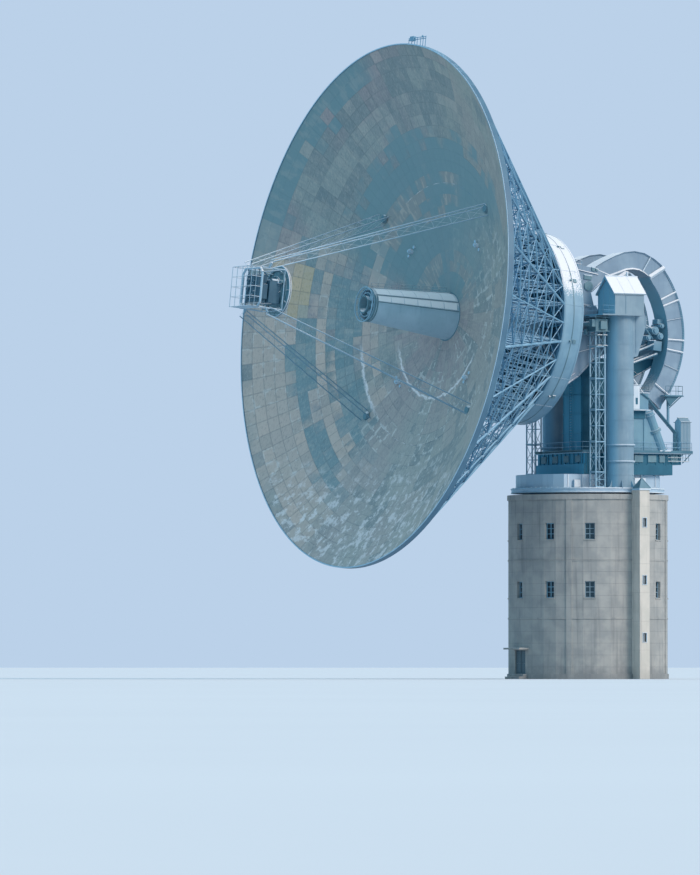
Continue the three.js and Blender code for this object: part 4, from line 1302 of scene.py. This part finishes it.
liftTower = {
    "x": 10.9,
    "y": 1,
    "half": 0.7,
    "eaves": 23.2,
    "apex": 24.5,
    "slots": (4.5, 11.5, 18.5),
    "slotHeight": 1.1,
}


# eaves and slot window frames, then the ridges of the roof and its rod
def buildLiftTower():
    x, y, half, eaves = liftTower["x"], liftTower["y"], liftTower["half"], liftTower["eaves"]
    face = x + half
    mesh = bmesh.new()
    roundedBlock(mesh, (9.9, face + 0.14), (y - half - 0.14, y + half + 0.14), (eaves - 0.22, eaves), 0.03)
    for slot in liftTower["slots"]:
        reach = (slot, slot + liftTower["slotHeight"])
        for z in (slot - 0.05, reach[1]):
            block(mesh, (face - 0.1, face + 0.06), about(y, 0.34), (z, z + 0.06))
        for middle in about(y, 0.28):
            block(mesh, (face - 0.1, face + 0.05), about(middle, 0.04), reach)
        block(mesh, (face - 0.15, face - 0.1), about(y, 0.02), reach)
    addPiece("liftTrim", mesh, "base", "render", "whiteTrim")
    mesh = bmesh.new()
    apex = Vector((x, y, liftTower["apex"]))
    for sx in (-1, 1):
        for sy in (-1, 1):
            bar(mesh, (x + sx * (half + 0.1), y + sy * (half + 0.1), eaves + 0.03), apex, 0.05, 6)
    bar(mesh, apex - Vector((0, 0, 0.2)), apex + Vector((0, 0, 0.25)), 0.05, 6)
    addPiece("liftRidges", mesh, "base", "house", "dullRoof")


buildTower()
buildLiftTower()
print("tower made")


# mount: columns, bearing houses, ladder towers

column = {
    "x": 7.5,
    "radius": 1.7,
    "foot": 23.3,
    "top": 44.3,
    "steps": 64,
    "flanges": (26.5, 28.5),
    "flangeBolts": 24,
    "welds": (24.9, 31.6, 34.7, 37.8, 40.9),
    "gussets": 8,
    "bracket": ((0, 39), (1.85, 39.4), (3.1, 43.4), (3.1, 44.3), (0, 44.3)),
    "bracketRibs": ((0.3, 39.475), (1.6, 39.8), (2.95, 43.2)),  # y and foot
    "bearing": ((5.77, 0, 42), (7.17, 0, 42), 1.35, 48),
}


def buildColumns():
    radius, foot, top, steps = column["radius"], column["foot"], column["top"], column["steps"]
    for side, sign in bothSides.items():
        centre = (sign * column["x"], 0, 0)
        mesh = bmesh.new()
        profile = [(0, foot), (radius + 0.12, foot), (radius + 0.12, foot + 0.14), (radius, foot + 0.14)]
        for z in column["flanges"]:
            low, high = about(z, 0.08)
            profile += [(radius, low), (radius + 0.15, low), (radius + 0.15, high), (radius, high)]
        lathe(mesh, profile + [(radius, top), (0, top)], steps, "Z", centre=centre)
        slab(mesh, column["bracket"], "x", across(sign, 6.3, 8.7))
        bars(mesh, [column["bearing"]], sign)
        node = f"column_{side.lower()}"
        addPiece(f"column{side}", mesh, "alidade", "mount", weld=True, soft=0.5, standsFor=[node])

        mesh = bmesh.new()
        for z in column["welds"]:
            hoop(mesh, radius, z, 0.05, 0.035, steps, "Z", centre)
        for z in column["flanges"]:
            for x, y in circle(radius + 0.08, column["flangeBolts"]):
                bar(mesh, (centre[0] + x, y, z - 0.14), (centre[0] + x, y, z + 0.14), 0.045, 6)
        gusset = [(radius - 0.05, foot), (radius + 0.5, foot), (radius - 0.05, foot + 1.1)]
        for angle in turns(column["gussets"], 0.5):
            spinVerts(mesh, slab(mesh, gusset, "y", (-0.04, 0.04)), angle, "Z", centre)
        for y, low in column["bracketRibs"]:
            block(mesh, across(sign, 6.24, 8.76), about(y, 0.05), (low, top - 0.05))
        addPiece(f"columnTrim{side}", mesh, "alidade", "mount")
        mesh = bmesh.new()
        for z in column["flanges"]:
            hoop(mesh, radius, z + 0.08, 0.05, 0.17, steps, "Z", centre)
        addPiece(f"flangeSnow{side}", mesh, "alidade", "mount", "whiteTrim")


house = {
    "inner": 5.75,
    "outer": 9.75,
    "floor": 44.3,
    "eaves": 47.1,
    "apex": 49.2,
    "front": -2.05,
    "rear": 2.1,
    "roof": (-2.28, 2.32),
    "roofSeams": 4,
    "overhang": 0.15,
    "landingY": (-2.2, -3.82),
    "door": (0.5, 0.06, (44.5, 46.6)),  # half its width, its reach behind the rear wall, heights
    "hood": (0.6, 0.5, (46.75, 46.82)),
}


def railing(mesh, corners, floor, height=1.1, spacing=1.5, thickness=0.025):
    for start, end in pairwise(corners):
        start, end = Vector((*start, floor)), Vector((*end, floor))
        count = max(1, round((end - start).length / spacing))
        for i in range(count + 1):
            foot = start.lerp(end, i / count)
            bar(mesh, foot, foot + Vector((0, 0, height)), thickness)
        for share in (0.45, 1):
            rise = Vector((0, 0, height * share))
            bar(mesh, start + rise, end + rise, thickness)


def buildHouses():
    inner, outer, floor, eaves, apex = (house[key] for key in ("inner", "outer", "floor", "eaves", "apex"))
    front, rear = house["front"], house["rear"]
    half = (outer - inner) / 2
    slope = (apex - eaves + 0.1) / (half + house["overhang"])
    for side, sign in bothSides.items():
        ridge = sign * (inner + outer) / 2
        mesh = bmesh.new()
        first, last = house["roof"]
        for reach in (half + house["overhang"], -half - house["overhang"]):
            for y in spaced(first, last, house["roofSeams"]):
                bar(mesh, (ridge + reach, y, eaves - 0.08), (ridge, y, apex + 0.02), 0.012)
        bar(mesh, (ridge, first - 0.04, apex - 0.03), (ridge, last + 0.05, apex - 0.03), 0.09, 8)
        bar(mesh, (ridge, 0.9, apex), (ridge, 0.9, apex + 0.5), 0.12, 10)
        addPiece(f"houseRoofSeams{side}", mesh, "alidade", "house", "whiteTrim")

        mesh = bmesh.new()
        seamY = front + (rear - front) * 0.37
        for x in across(sign, inner - 0.03, outer + 0.03):
            bar(mesh, (x, seamY, floor + 0.1), (x, seamY, eaves - 0.25), 0.03)
            bar(mesh, (x, front, eaves - 0.3), (x, rear, eaves - 0.3), 0.04)
        for y in (front, rear):
            for x in (inner + 1.3, outer - 1.3):
                top = eaves - 0.2 + slope * (half - abs(x - abs(ridge))) * 0.86
                bar(mesh, (sign * x, y, floor + 0.1), (sign * x, y, top), 0.025)
        addPiece(f"houseSeams{side}", mesh, "alidade", "house")

        # the door and its hood are on the rear wall
        mesh = bmesh.new()
        for halfWidth, reach, heights in (house["door"], house["hood"]):
            block(mesh, about(ridge, halfWidth), (rear, rear + reach), heights)
        addPiece(f"houseFittings{side}", mesh, "alidade", "house", "dark")

        mesh = bmesh.new()
        near, far = sign * (inner - 0.05), sign * (outer + 0.05)
        y0, y1 = house["landingY"]
        railing(mesh, [(near, y0), (near, y1), (far, y1), (far, y0)], floor + 0.15, 1.05, 0.9, 0.018)
        addPiece(f"houseRail{side}", mesh, "alidade", "house", "truss")


ladder = {
    "x": (6.85, 8.15),
    "y": (-3.85, -2.55),
    "foot": 23.3,
    "top": 44.3,
    "landings": (25.2, 28.9, 32.8, 36.6, 40.5),
    "slats": 9,
    "rungs": 57,
    "rungGap": 0.33,
    "frame": (40.62, 41.9),  # heights of the frame under the machinery
    "boxes": (
        ((6.4, 8.6), (-4.1, -2.4), (42.4, 43.9), 0.05),
        ((7.9, 8.55), (-4.6, -4.1), (42.9, 43.8), 0.03),
        ((8.55, 8.95), (-3.6, -2.7), (42.6, 43.6), 0.03),
        ((6.4, 6.9), (-4.5, -4.2), (42, 42.7), 0.03),
    ),
    "motor": (
        ((6.5, -4.35, 43.3), (7.6, -4.35, 43.3), 0.3, 20),
        ((7.6, -4.35, 43.3), (7.9, -4.35, 43.3), 0.2, 16),
        ((8.75, -3.15, 40.6), (8.75, -3.15, 42.6), 0.05, 6),
    ),
    "covers": (((6.2, 8.8), (-4.3, -2.25), (42.35, 42.42)), ((6.2, 8.8), (-4.3, -2.25), (44.05, 44.12))),
}


def rungLadder(mesh, x, y, reach, half, first, count, thickness):
    rails, rungs = thickness
    low, high = reach
    for side in (x - half, x + half):
        bar(mesh, (side, y, low), (side, y, high), rails)
    for i in range(count):
        z = first + i * ladder["rungGap"]
        bar(mesh, (x - half, y, z), (x + half, y, z), rungs)


def buildLadders():
    foot, top = ladder["foot"], ladder["top"]
    y0, y1 = ladder["y"]
    levels = [foot + 0.1, *ladder["landings"], top - 0.1]
    for side, sign in bothSides.items():
        x0, x1 = across(sign, *ladder["x"])
        mesh = bmesh.new()
        for x in (x0, x1):
            for y in (y0, y1):
                block(mesh, about(x, 0.07), about(y, 0.07), (foot, top))
        for z in levels:
            for x in (x0, x1):
                bar(mesh, (x, y0, z), (x, y1, z), 0.08)
            for y in (y0, y1):
                bar(mesh, (x0, y, z), (x1, y, z), 0.08)
        for low, high in pairwise(levels):
            middle = (low + high) / 2
            for y in (y0, y1):
                bar(mesh, (x0, y, middle), (x1, y, middle), 0.045)
                bar(mesh, (x0, y, low), (x1, y, middle), 0.04)
                bar(mesh, (x1, y, middle), (x0, y, high), 0.04)
            for x in (x0, x1):
                bar(mesh, (x, y0, middle), (x, y1, middle), 0.045)
                bar(mesh, (x, y1, low), (x, y0, middle), 0.04)
                bar(mesh, (x, y0, middle), (x, y1, high), 0.04)
        node = f"ladder_tower_{side.lower()}"
        addPiece(f"ladderTower{side}", mesh, "alidade", "truss", "brightSteel", standsFor=[node])

        mesh = bmesh.new()
        for z in ladder["landings"]:
            for y in spaced(y0 + 0.1, y1 - 0.1, ladder["slats"]):
                block(mesh, (x0, x1), about(y, 0.02), (z + 0.06, z + 0.1))
            block(mesh, (x0 - 0.07, x1 + 0.07), (y0 - 0.1, y0 - 0.06), (z + 0.02, z + 0.16))
        reach = (foot + 0.3, top - 2)
        rungLadder(mesh, (x0 + x1) / 2, -3, reach, 0.22, foot + 0.4, ladder["rungs"], (0.03, 0.018))
        addPiece(f"ladderRungs{side}", mesh, "alidade", "truss", "brightSteel")

        # machinery at the ladder's head: housing, motor, gearbox and cabinets with frosted covers
        mesh = bmesh.new()
        for z in ladder["frame"]:
            for x in (6.35, 8.65):
                bar(mesh, (sign * x, -3.9, z), (sign * x, -2.5, z), 0.07)
            for y in (-3.9, -2.5):
                bar(mesh, (sign * 6.3, y, z), (sign * 8.7, y, z), 0.08)
        roundedBlocks(mesh, ladder["boxes"], sign)
        bars(mesh, ladder["motor"], sign)
        blocks(mesh, ladder["covers"], sign)
        addPiece(f"ladderMotor{side}", mesh, "alidade", "truss", "machinery")


buildColumns()
buildHouses()
buildLadders()
print("columns, houses and ladders made")


# platform: deck, rooms, turntable, stair head, pier and drives

deck = {
    "top": 27.9,
    "edge": ((5.5, -4.1), (5.5, 2.4), (6.5, 2.4), (6.5, 11)),
    "beam": (27.72, 28),
}


def buildDeck():
    right = deck["edge"]
    left = [(-x, y) for x, y in right]
    mesh = bmesh.new()
    for corners in (right, left, [right[0], left[0]], [right[-1], left[-1]]):
        railing(mesh, corners, deck["top"])
    addPiece("deckRail", mesh, "alidade", "mount", "truss")

    mesh = bmesh.new()
    for sign in bothSides.values():
        for (x0, y0), (x1, y1) in pairwise(right):
            reach = sorted((sign * (x0 + 0.12) - 0.03, sign * (x1 + 0.12) + 0.03))
            block(mesh, reach, (y0 - 0.03, y1 + 0.03), deck["beam"])
    for (x, y), shift in ((right[0], -0.07), (right[-1], 0.07)):
        block(mesh, about(0, x + 0.12), about(y + shift, 0.03), deck["beam"])
    addPiece("deckEdge", mesh, "alidade", "mount", "struts")


rooms = {
    "front": (25.1, 27.6),  # heights of the walls
    "rear": (26.3, 27.6),
    "frontRibs": ((5.58, 5.7), spaced(-3.6, 1.2, 5)),  # reach along x, and each y
    "rearRibs": ((6.08, 6.2), spaced(2.5, 9.6, 7)),
    "ends": ((-3.92, -3.8), (9.68, 9.8)),
    "bracket": ((5.6, 24.9), (6.25, 26.3), (5.6, 26.3)),
    "brackets": (3.2, 4.6, 6, 7.4),
    "panels": ((2.9, 4.15), (4.85, 6.05), (6.5, 7.3), (8.2, 9.2)),
    "endPanels": (-4, -1.3, 1.3, 4),
    "gallery": {"x": 6.45, "y": (7.6, 10.6), "posts": 8, "z": (26.7, 27.6)},
}


# ribs and brackets on the walls, then panels and an outer gallery
def buildRooms():
    front, rear = rooms["front"], rooms["rear"]
    mesh = bmesh.new()
    for sign in bothSides.values():
        for (reach, places), heights in ((rooms["rearRibs"], rear), (rooms["frontRibs"], front)):
            for y in places:
                block(mesh, across(sign, *reach), about(y, 0.05), heights)
        for y in rooms["brackets"]:
            slab(mesh, [(sign * x, z) for x, z in rooms["bracket"]], "y", about(y, 0.05))
        for y in (9.8, 10.9):
            bar(mesh, (sign * 6.4, y, 27.6), (sign * 6.1, y - 1, 26.5), 0.06)
    for x in range(-5, 6):
        for y, z in zip(rooms["ends"], (front, rear)):
            block(mesh, about(x, 0.05), y, z)
    addPiece("roomRibs", mesh, "alidade", "dark")

    mesh = bmesh.new()
    gallery = rooms["gallery"]
    (y0, y1), (low, high) = gallery["y"], gallery["z"]
    for sign in bothSides.values():
        for reach in rooms["panels"]:
            roundedBlock(mesh, across(sign, 6.08, 6.24), reach, (26.55, 27.4), 0.03)
        x = sign * gallery["x"]
        for y in spaced(y0, y1, gallery["posts"]):
            bar(mesh, (x, y, low), (x, y, high), 0.04)
        for z, radius in ((low, 0.05), ((low + high) / 2, 0.04)):
            bar(mesh, (x, y0, z), (x, y1, z), radius)
    for x in rooms["endPanels"]:
        for reach in ((-3.96, -3.8), (9.68, 9.84)):
            roundedBlock(mesh, about(x, 0.55), reach, (26.5, 27.3), 0.03)
    addPiece("roomPanels", mesh, "alidade", "dark", "machinery")


turntable = {
    "flanges": ((9.48, 23.2, 23.34), (9.46, 22.76, 22.86)),  # radius, low and high
    "boltRadius": 9.25,
    "bolts": 72,
    "ribs": (-6.3, -4.2, -2.1, 0, 2.1, 4.2, 6.3),
    "boxes": (((5.6, 6.1), (3, 4.6), (23.4, 24.6), 0.04), ((5.6, 6), (-5.6, -4.7), (23.4, 24.3), 0.04)),
}


def buildTurntable():
    mesh = bmesh.new()
    for radius, low, high in turntable["flanges"]:
        band(mesh, (9.3, radius), (low, high), 96, "Z")
    for x, y in circle(turntable["boltRadius"], turntable["bolts"]):
        bar(mesh, (x, y, 23.28), (x, y, 23.42), 0.07, 6)
    for sign in bothSides.values():
        for y in turntable["ribs"]:
            block(mesh, across(sign, 5.58, 5.68), about(y, 0.06), (23.3, 24.98))
        roundedBlocks(mesh, turntable["boxes"], sign)
    addPiece("turntableTrim", mesh, "alidade", "mount", "whiteTrim")


stairHead = {
    "y": (9.4, 11),
    "door": ((4.94, 5), (9.8, 10.6), (28, 30.1)),
    "roofEdges": ((4.92, 31.56), (6.48, 31.56), (5.7, 32.1)),  # x and z
    "seamX": 6.41,
    "seams": (9.95, 10.4),
}


def buildStairHead():
    near, far = stairHead["y"]
    mesh = bmesh.new()
    blocks(mesh, [stairHead["door"]])
    for x, z in stairHead["roofEdges"]:
        bar(mesh, (x, near, z), (x, far, z), 0.06, 6)
    for y in stairHead["seams"]:
        bar(mesh, (stairHead["seamX"], y, 28), (stairHead["seamX"], y, 31.5), 0.03)
    addPiece("stairHeadTrim", mesh, "alidade", "house")


pier = {
    "foot": 27.95,
    "cornerRibs": (((-2.26, -2.18), 39.3), ((2.38, 2.46), 35.6)),  # reach along y, and the top
    "bands": (30.2, 32.5, 34.8, 37.1, 39.3),
    "sideRibs": (-2.1, 0.1, 2.3),
    "braces": ((2.4, 35.55, 8.85, 38.95, 0.09), (3, 39.3, 6, 37.45, 0.07)),
    "top": 39.4,
    "railX": 1.95,
    "railY": (-2.1, 6.1),
    "rungs": 34,
}


# ribs and braces of the central pier, then its ladder and the railing on its top, all in the dark teal that
# is painted shade
def buildPier():
    foot, top, x = pier["foot"], pier["top"], pier["railX"]
    mesh = bmesh.new()
    for sign in bothSides.values():
        for reach, high in pier["cornerRibs"]:
            block(mesh, about(sign * 2.05, 0.06), reach, (foot, high))
        for z in pier["bands"]:
            block(mesh, across(sign, 2.08, 2.22), (-2.2, 2.4), about(z, 0.06))
        for y in pier["sideRibs"]:
            block(mesh, across(sign, 2.08, 2.2), about(y, 0.06), (foot, 38.7))
        flatBars(mesh, sign * 2.04, pier["braces"])
    for z in pier["bands"]:
        block(mesh, (-2.16, 2.16), (-2.32, -2.18), about(z, 0.06))
    addPiece("pierRibs", mesh, "alidade", "dark")

    mesh = bmesh.new()
    rungLadder(mesh, 0, -2.45, (28, top), 0.25, 28.2, pier["rungs"], (0.035, 0.02))
    y0, y1 = pier["railY"]
    for corners in ([(-x, y0), (x, y0), (x, y1)], [(-x, y0), (-x, y1)]):
        railing(mesh, corners, top, 1, 1.3, 0.03)
    addPiece("pierLadder", mesh, "alidade", "dark")


drive = {
    "x": 1.25,
    "motorZ": 40.3,
    "shaftY": 7.4,
    "fins": 6,
    "bolts": ((-0.7, 6.5), (-0.7, 8.5), (0.7, 6.5), (0.7, 8.5)),
}


# elevation drives: motors with fins, couplings, bolts and shafts
def buildDrives():
    z, shaftY = drive["motorZ"], drive["shaftY"]
    mesh = bmesh.new()
    for x in (-drive["x"], drive["x"]):
        bar(mesh, (x, shaftY, 42.6), (x, shaftY, 42.95), 0.45, 20)
        bar(mesh, (x, 6.3, z), (x, 5.3, z), 0.42, 20)
        bar(mesh, (x, 5.3, z), (x, 5, z), 0.3, 20)
        for i in range(drive["fins"]):
            bar(mesh, (x, 6.2 - i * 0.15, z), (x, 6.15 - i * 0.15, z), 0.47, 20)
        roundedBlock(mesh, about(x, 0.5), (8.7, 9.1), (39.7, 40.7), 0.04)
        for shift, y in drive["bolts"]:
            bar(mesh, (x + shift, y, 40.95), (x + shift, y, 41.12), 0.09, 6)
        bar(mesh, (x - 0.8, shaftY, 41.5), (x + 0.8, shaftY, 41.5), 0.14, 12)
    bar(mesh, (-0.6, shaftY, 40.4), (0.6, shaftY, 40.4), 0.25, 16)
    addPiece("driveMachinery", mesh, "alidade", "mount", "machinery")


buildDeck()
buildRooms()
buildTurntable()
buildStairHead()
buildPier()
buildDrives()
print("platform made")


# side frames: small cabin with its annex, bent strut, balcony and inclined tube

sideFrame = {
    "trim": (  # roof edges and sills of the cabin and the annex, its outer face, the tube's foot
        ((5.4, 7.2), (2.1, 3.2), (35.93, 36.02)),
        ((5.4, 7), (3.1, 4.6), (34.98, 35.07)),
        ((5.4, 7.2), (2.1, 4.6), (32.86, 32.97)),
        ((7.06, 7.14), (2.22, 3.08), (33.02, 35.88)),
        ((5.4, 6.7), (6.3, 7.9), (27.9, 28.04)),
    ),
    "upperStrut": ((2.05, 37.75, 4.35, 35.05, 0.15),),
    # painted shadow: the girder under the cabin is a dark block where the cabin's shadow falls on the web
    "girder": ((5.8, 6.42), (2.22, 4.35), (31.9, 32.84)),
    "window": ((7.12, 7.17), (2.5, 2.8), (33.6, 34.4)),
    "door": ((5.9, 6.7), (2.15, 2.2), (33.2, 35)),
    "webRibs": ((2.25, 28, 2.25, 33, 0.06), (6.45, 28, 5.45, 33, 0.06), (4.2, 28, 4.2, 32.9, 0.06)),
    "strut": ((4.35, 35.05), (9.1, 30.25), (9.1, 27.9)),
    "strutFlanges": ((5.63, 0.11), (5.79, 0.16)),  # the inner one keeps clear of the arc that swings past
    "brackets": (
        ((6.98, 3.45, 35), (6.98, 4.5, 34.3), 0.14, 4),
        ((6.5, 9.5, 34.7), (5.6, 8.2, 33.2), 0.06, 4),
        ((6.5, 7.4, 34.7), (5.6, 8, 33.2), 0.06, 4),
    ),
    "gusset": ((7.2, 34.66), (9.3, 34.66), (8.4, 33.9), (8, 33.5)),
    "balcony": ((5.55, 9.65), (6.55, 9.65), (6.55, 8.7), (6.55, 7.2)),
    "balconyPlate": ((5.5, 6.66), (7.04, 9.76), (34.66, 34.78)),
    "annexRail": ((7, 3.15), (7, 4.5)),
    "tube": ((6.05, 5.1, 32.4), (6.05, 6.98, 27.9)),
    "collars": ((0.03, 0.72), (0.42, 0.8), (0.46, 0.8), (0.97, 0.74)),  # share of the tube, radius
}


def buildSideFrames():
    for side, sign in bothSides.items():
        mesh = bmesh.new()
        blocks(mesh, sideFrame["trim"], sign)
        for x in (5.66, 5.8):
            flatBars(mesh, sign * x, sideFrame["upperStrut"])
        addPiece(f"cabinTrim{side}", mesh, "alidade", "mount", "whiteTrim")

        mesh = bmesh.new()
        # painted shadow: a dark girder under the cabin floor stands for the cabin's shadow; the small window
        # shares its dark paint
        blocks(mesh, (sideFrame["girder"], sideFrame["window"]), sign)
        addPiece(f"cabinShadowGirder{side}", mesh, "alidade", "mount", "dark")

        mesh = bmesh.new()
        blocks(mesh, [sideFrame["door"]], sign)
        for x in (5.9, 6.3):
            flatBars(mesh, sign * x, sideFrame["webRibs"])
        addPiece(f"webRibs{side}", mesh, "alidade", "mount", "sideFrame")

        mesh = bmesh.new()
        bars(mesh, sideFrame["brackets"], sign)
        slab(mesh, sideFrame["gusset"], "x", across(sign, 6.2, 6.34))
        for x, radius in sideFrame["strutFlanges"]:
            flatBars(mesh, sign * x, [(*near, *far, radius) for near, far in pairwise(sideFrame["strut"])])
        blocks(mesh, [sideFrame["balconyPlate"]], sign)
        balcony, annex = ([(sign * x, y) for x, y in sideFrame[key]] for key in ("balcony", "annexRail"))
        railing(mesh, balcony, 34.85, 1.1, 0.7, 0.03)
        railing(mesh, annex, 35.05, 0.9, 0.6)
        addPiece(f"balconyRail{side}", mesh, "alidade", "mount", "struts")

        mesh = bmesh.new()
        start, end = (Vector((sign * x, y, z)) for x, y, z in sideFrame["tube"])
        half = (end - start).normalized() * 0.07
        for share, radius in sideFrame["collars"]:
            middle = start.lerp(end, share)
            bar(mesh, middle - half, middle + half, radius, 32)
        addPiece(f"tubeCollars{side}", mesh, "alidade", "mount", "sideFrame", soft=0.5)


rimRail = {"posts": (3, 3.7, 4.4, 5, 5.8, 6.4, 7), "reach": (2.9, 7.1), "rails": (32.25, 32.48), "top": 32.5}
fittings = {"degrees": (44, 134, -134, -44), "radius": 11.4, "spread": 0.75}


def buildRimFittings():
    y = dishY(dish["radius"]) + 0.25
    mesh = bmesh.new()
    for x in rimRail["posts"]:
        foot = math.sqrt(dish["radius"] ** 2 - x * x) - 0.1
        bar(mesh, (x, y, foot), (x, y, rimRail["top"]), 0.05)
    x0, x1 = rimRail["reach"]
    for z in rimRail["rails"]:
        bar(mesh, (x0, y, z), (x1, y, z), 0.05)
    roundedBlock(mesh, (3.45, 4.35), about(y, 0.2), (32.1, 32.68), 0.04)
    bar(mesh, (6.2, y, 32.4), (6.2, y, 32.66), 0.1, 8)
    addPiece("rimRail", mesh, "reflector", "truss", standsFor=["rim_rail"])

    # shoes of the legs, and four small fittings on the panels around the cone
    def stub(spot, behind, ahead, *sizes):
        bar(mesh, spot + Vector((0, behind, 0)), spot - Vector((0, ahead, 0)), *sizes)

    mesh = bmesh.new()
    for degrees in (45, 135, -135, -45):
        foot = polar(leg["footRadius"], dishY(leg["footRadius"]), math.radians(degrees))
        stub(foot, 0.02, 0.28, 0.6, 20, 0.45)
    addPiece("legShoes", mesh, "reflector", "truss", "machinery", soft=0.5)
    mesh = bmesh.new()
    radius = fittings["radius"]
    for degrees in fittings["degrees"]:
        turn = math.radians(degrees)
        foot = polar(radius, dishY(radius), turn)
        stub(foot, 0.05, 0.4, 0.3, 20)
        stub(foot, -0.4, 0.6, 0.18, 16)
        for shift in (-fittings["spread"], fittings["spread"]):
            stub(polar(radius, dishY(radius), turn + shift / radius), 0.05, 0.16, 0.2, 10)
    addPiece("dishFittings", mesh, "reflector", "panels", "whiteTrim", soft=0.5)


buildSideFrames()
buildRimFittings()
print("side frames and rim fittings made")


# floor, light and camera

view = {
    "azimuth": math.radians(60.26),
    "target": (-7.264, -12.689, 14.841),
    "distance": 463,
    "cameraHeight": 0.77,
    "focal": 309.7,
}
light = {
    "sky": (187, 209, 233),  # what the camera sees behind the telescope
    "horizon": (0.17, 0.47, 0.66, 1),
    "zenith": (0.8, 1.0, 1.16, 1),
    "sun": (1.0, 0.8, 0.68),
    "sunStrength": 2.4,
    "sunFrom": (0.78, 0.37, 0.5),
    "sunAngle": 26,
}


def buildFloor():
    mesh = bmesh.new()
    bmesh.ops.create_circle(mesh, cap_ends=True, segments=96, radius=4000)
    data = bpy.data.meshes.new("floor")
    mesh.to_mesh(data)
    mesh.free()
    floor = addToScene("floor", data)
    shader = Shader(bpy.data.materials.new("paleFloor"), (204, 208, 214), Roughness=0.9)
    shader.lay((210, 214, 219), shader.noise(shader.node("ShaderNodeTexCoord", output="Object"), 0.05))
    floor.data.materials.append(shader.finish())


# the camera sees a plain pale sky; the light comes from a bright zenith, a blue horizon and a soft sun
def buildSky():
    world = bpy.data.worlds.new("paleSky")
    sky = Shader(world, light["sky"])
    up = sky.split(sky.node("ShaderNodeTexCoord", output="Generated"))[2]
    colors = {0: up, 6: light["horizon"], 7: light["zenith"]}
    glow = sky.node("ShaderNodeMix", {"data_type": "RGBA"}, colors, output=2)
    parts = {
        0: sky.node("ShaderNodeLightPath", output="Is Camera Ray"),
        1: sky.node("ShaderNodeBackground", inputs={"Color": glow}),
        2: sky.node("ShaderNodeBackground", inputs={"Color": sky.color}),
    }
    both = sky.node("ShaderNodeMixShader", inputs=parts)
    sky.tree.links.new(both.socket, sky.tree.nodes["World Output"].inputs["Surface"])
    bpy.context.scene.world = world
    bpy.context.scene.view_settings.view_transform = "Standard"

    lamp = bpy.data.lights.new("softSun", "SUN")
    lamp.energy = light["sunStrength"]
    lamp.angle = math.radians(light["sunAngle"])
    lamp.color = light["sun"]
    addToScene("softSun", lamp).rotation_euler = Vector(light["sunFrom"]).to_track_quat("Z", "Y").to_euler()


def buildCamera():
    camera = addToScene("camera", bpy.data.cameras.new("camera"))
    target = Vector(view["target"])
    rise = target.z - view["cameraHeight"]
    level = math.sqrt(view["distance"] ** 2 - rise ** 2)
    back = Vector((math.sin(view["azimuth"]), -math.cos(view["azimuth"]), 0))
    camera.location = target + back * level - Vector((0, 0, rise))
    camera.rotation_euler = (target - camera.location).to_track_quat("-Z", "Y").to_euler()
    camera.data.sensor_width = 36
    camera.data.lens = view["focal"]
    camera.data.clip_end = 6000
    bpy.context.scene.camera = camera


buildFloor()
buildSky()
buildCamera()
print("stage set")
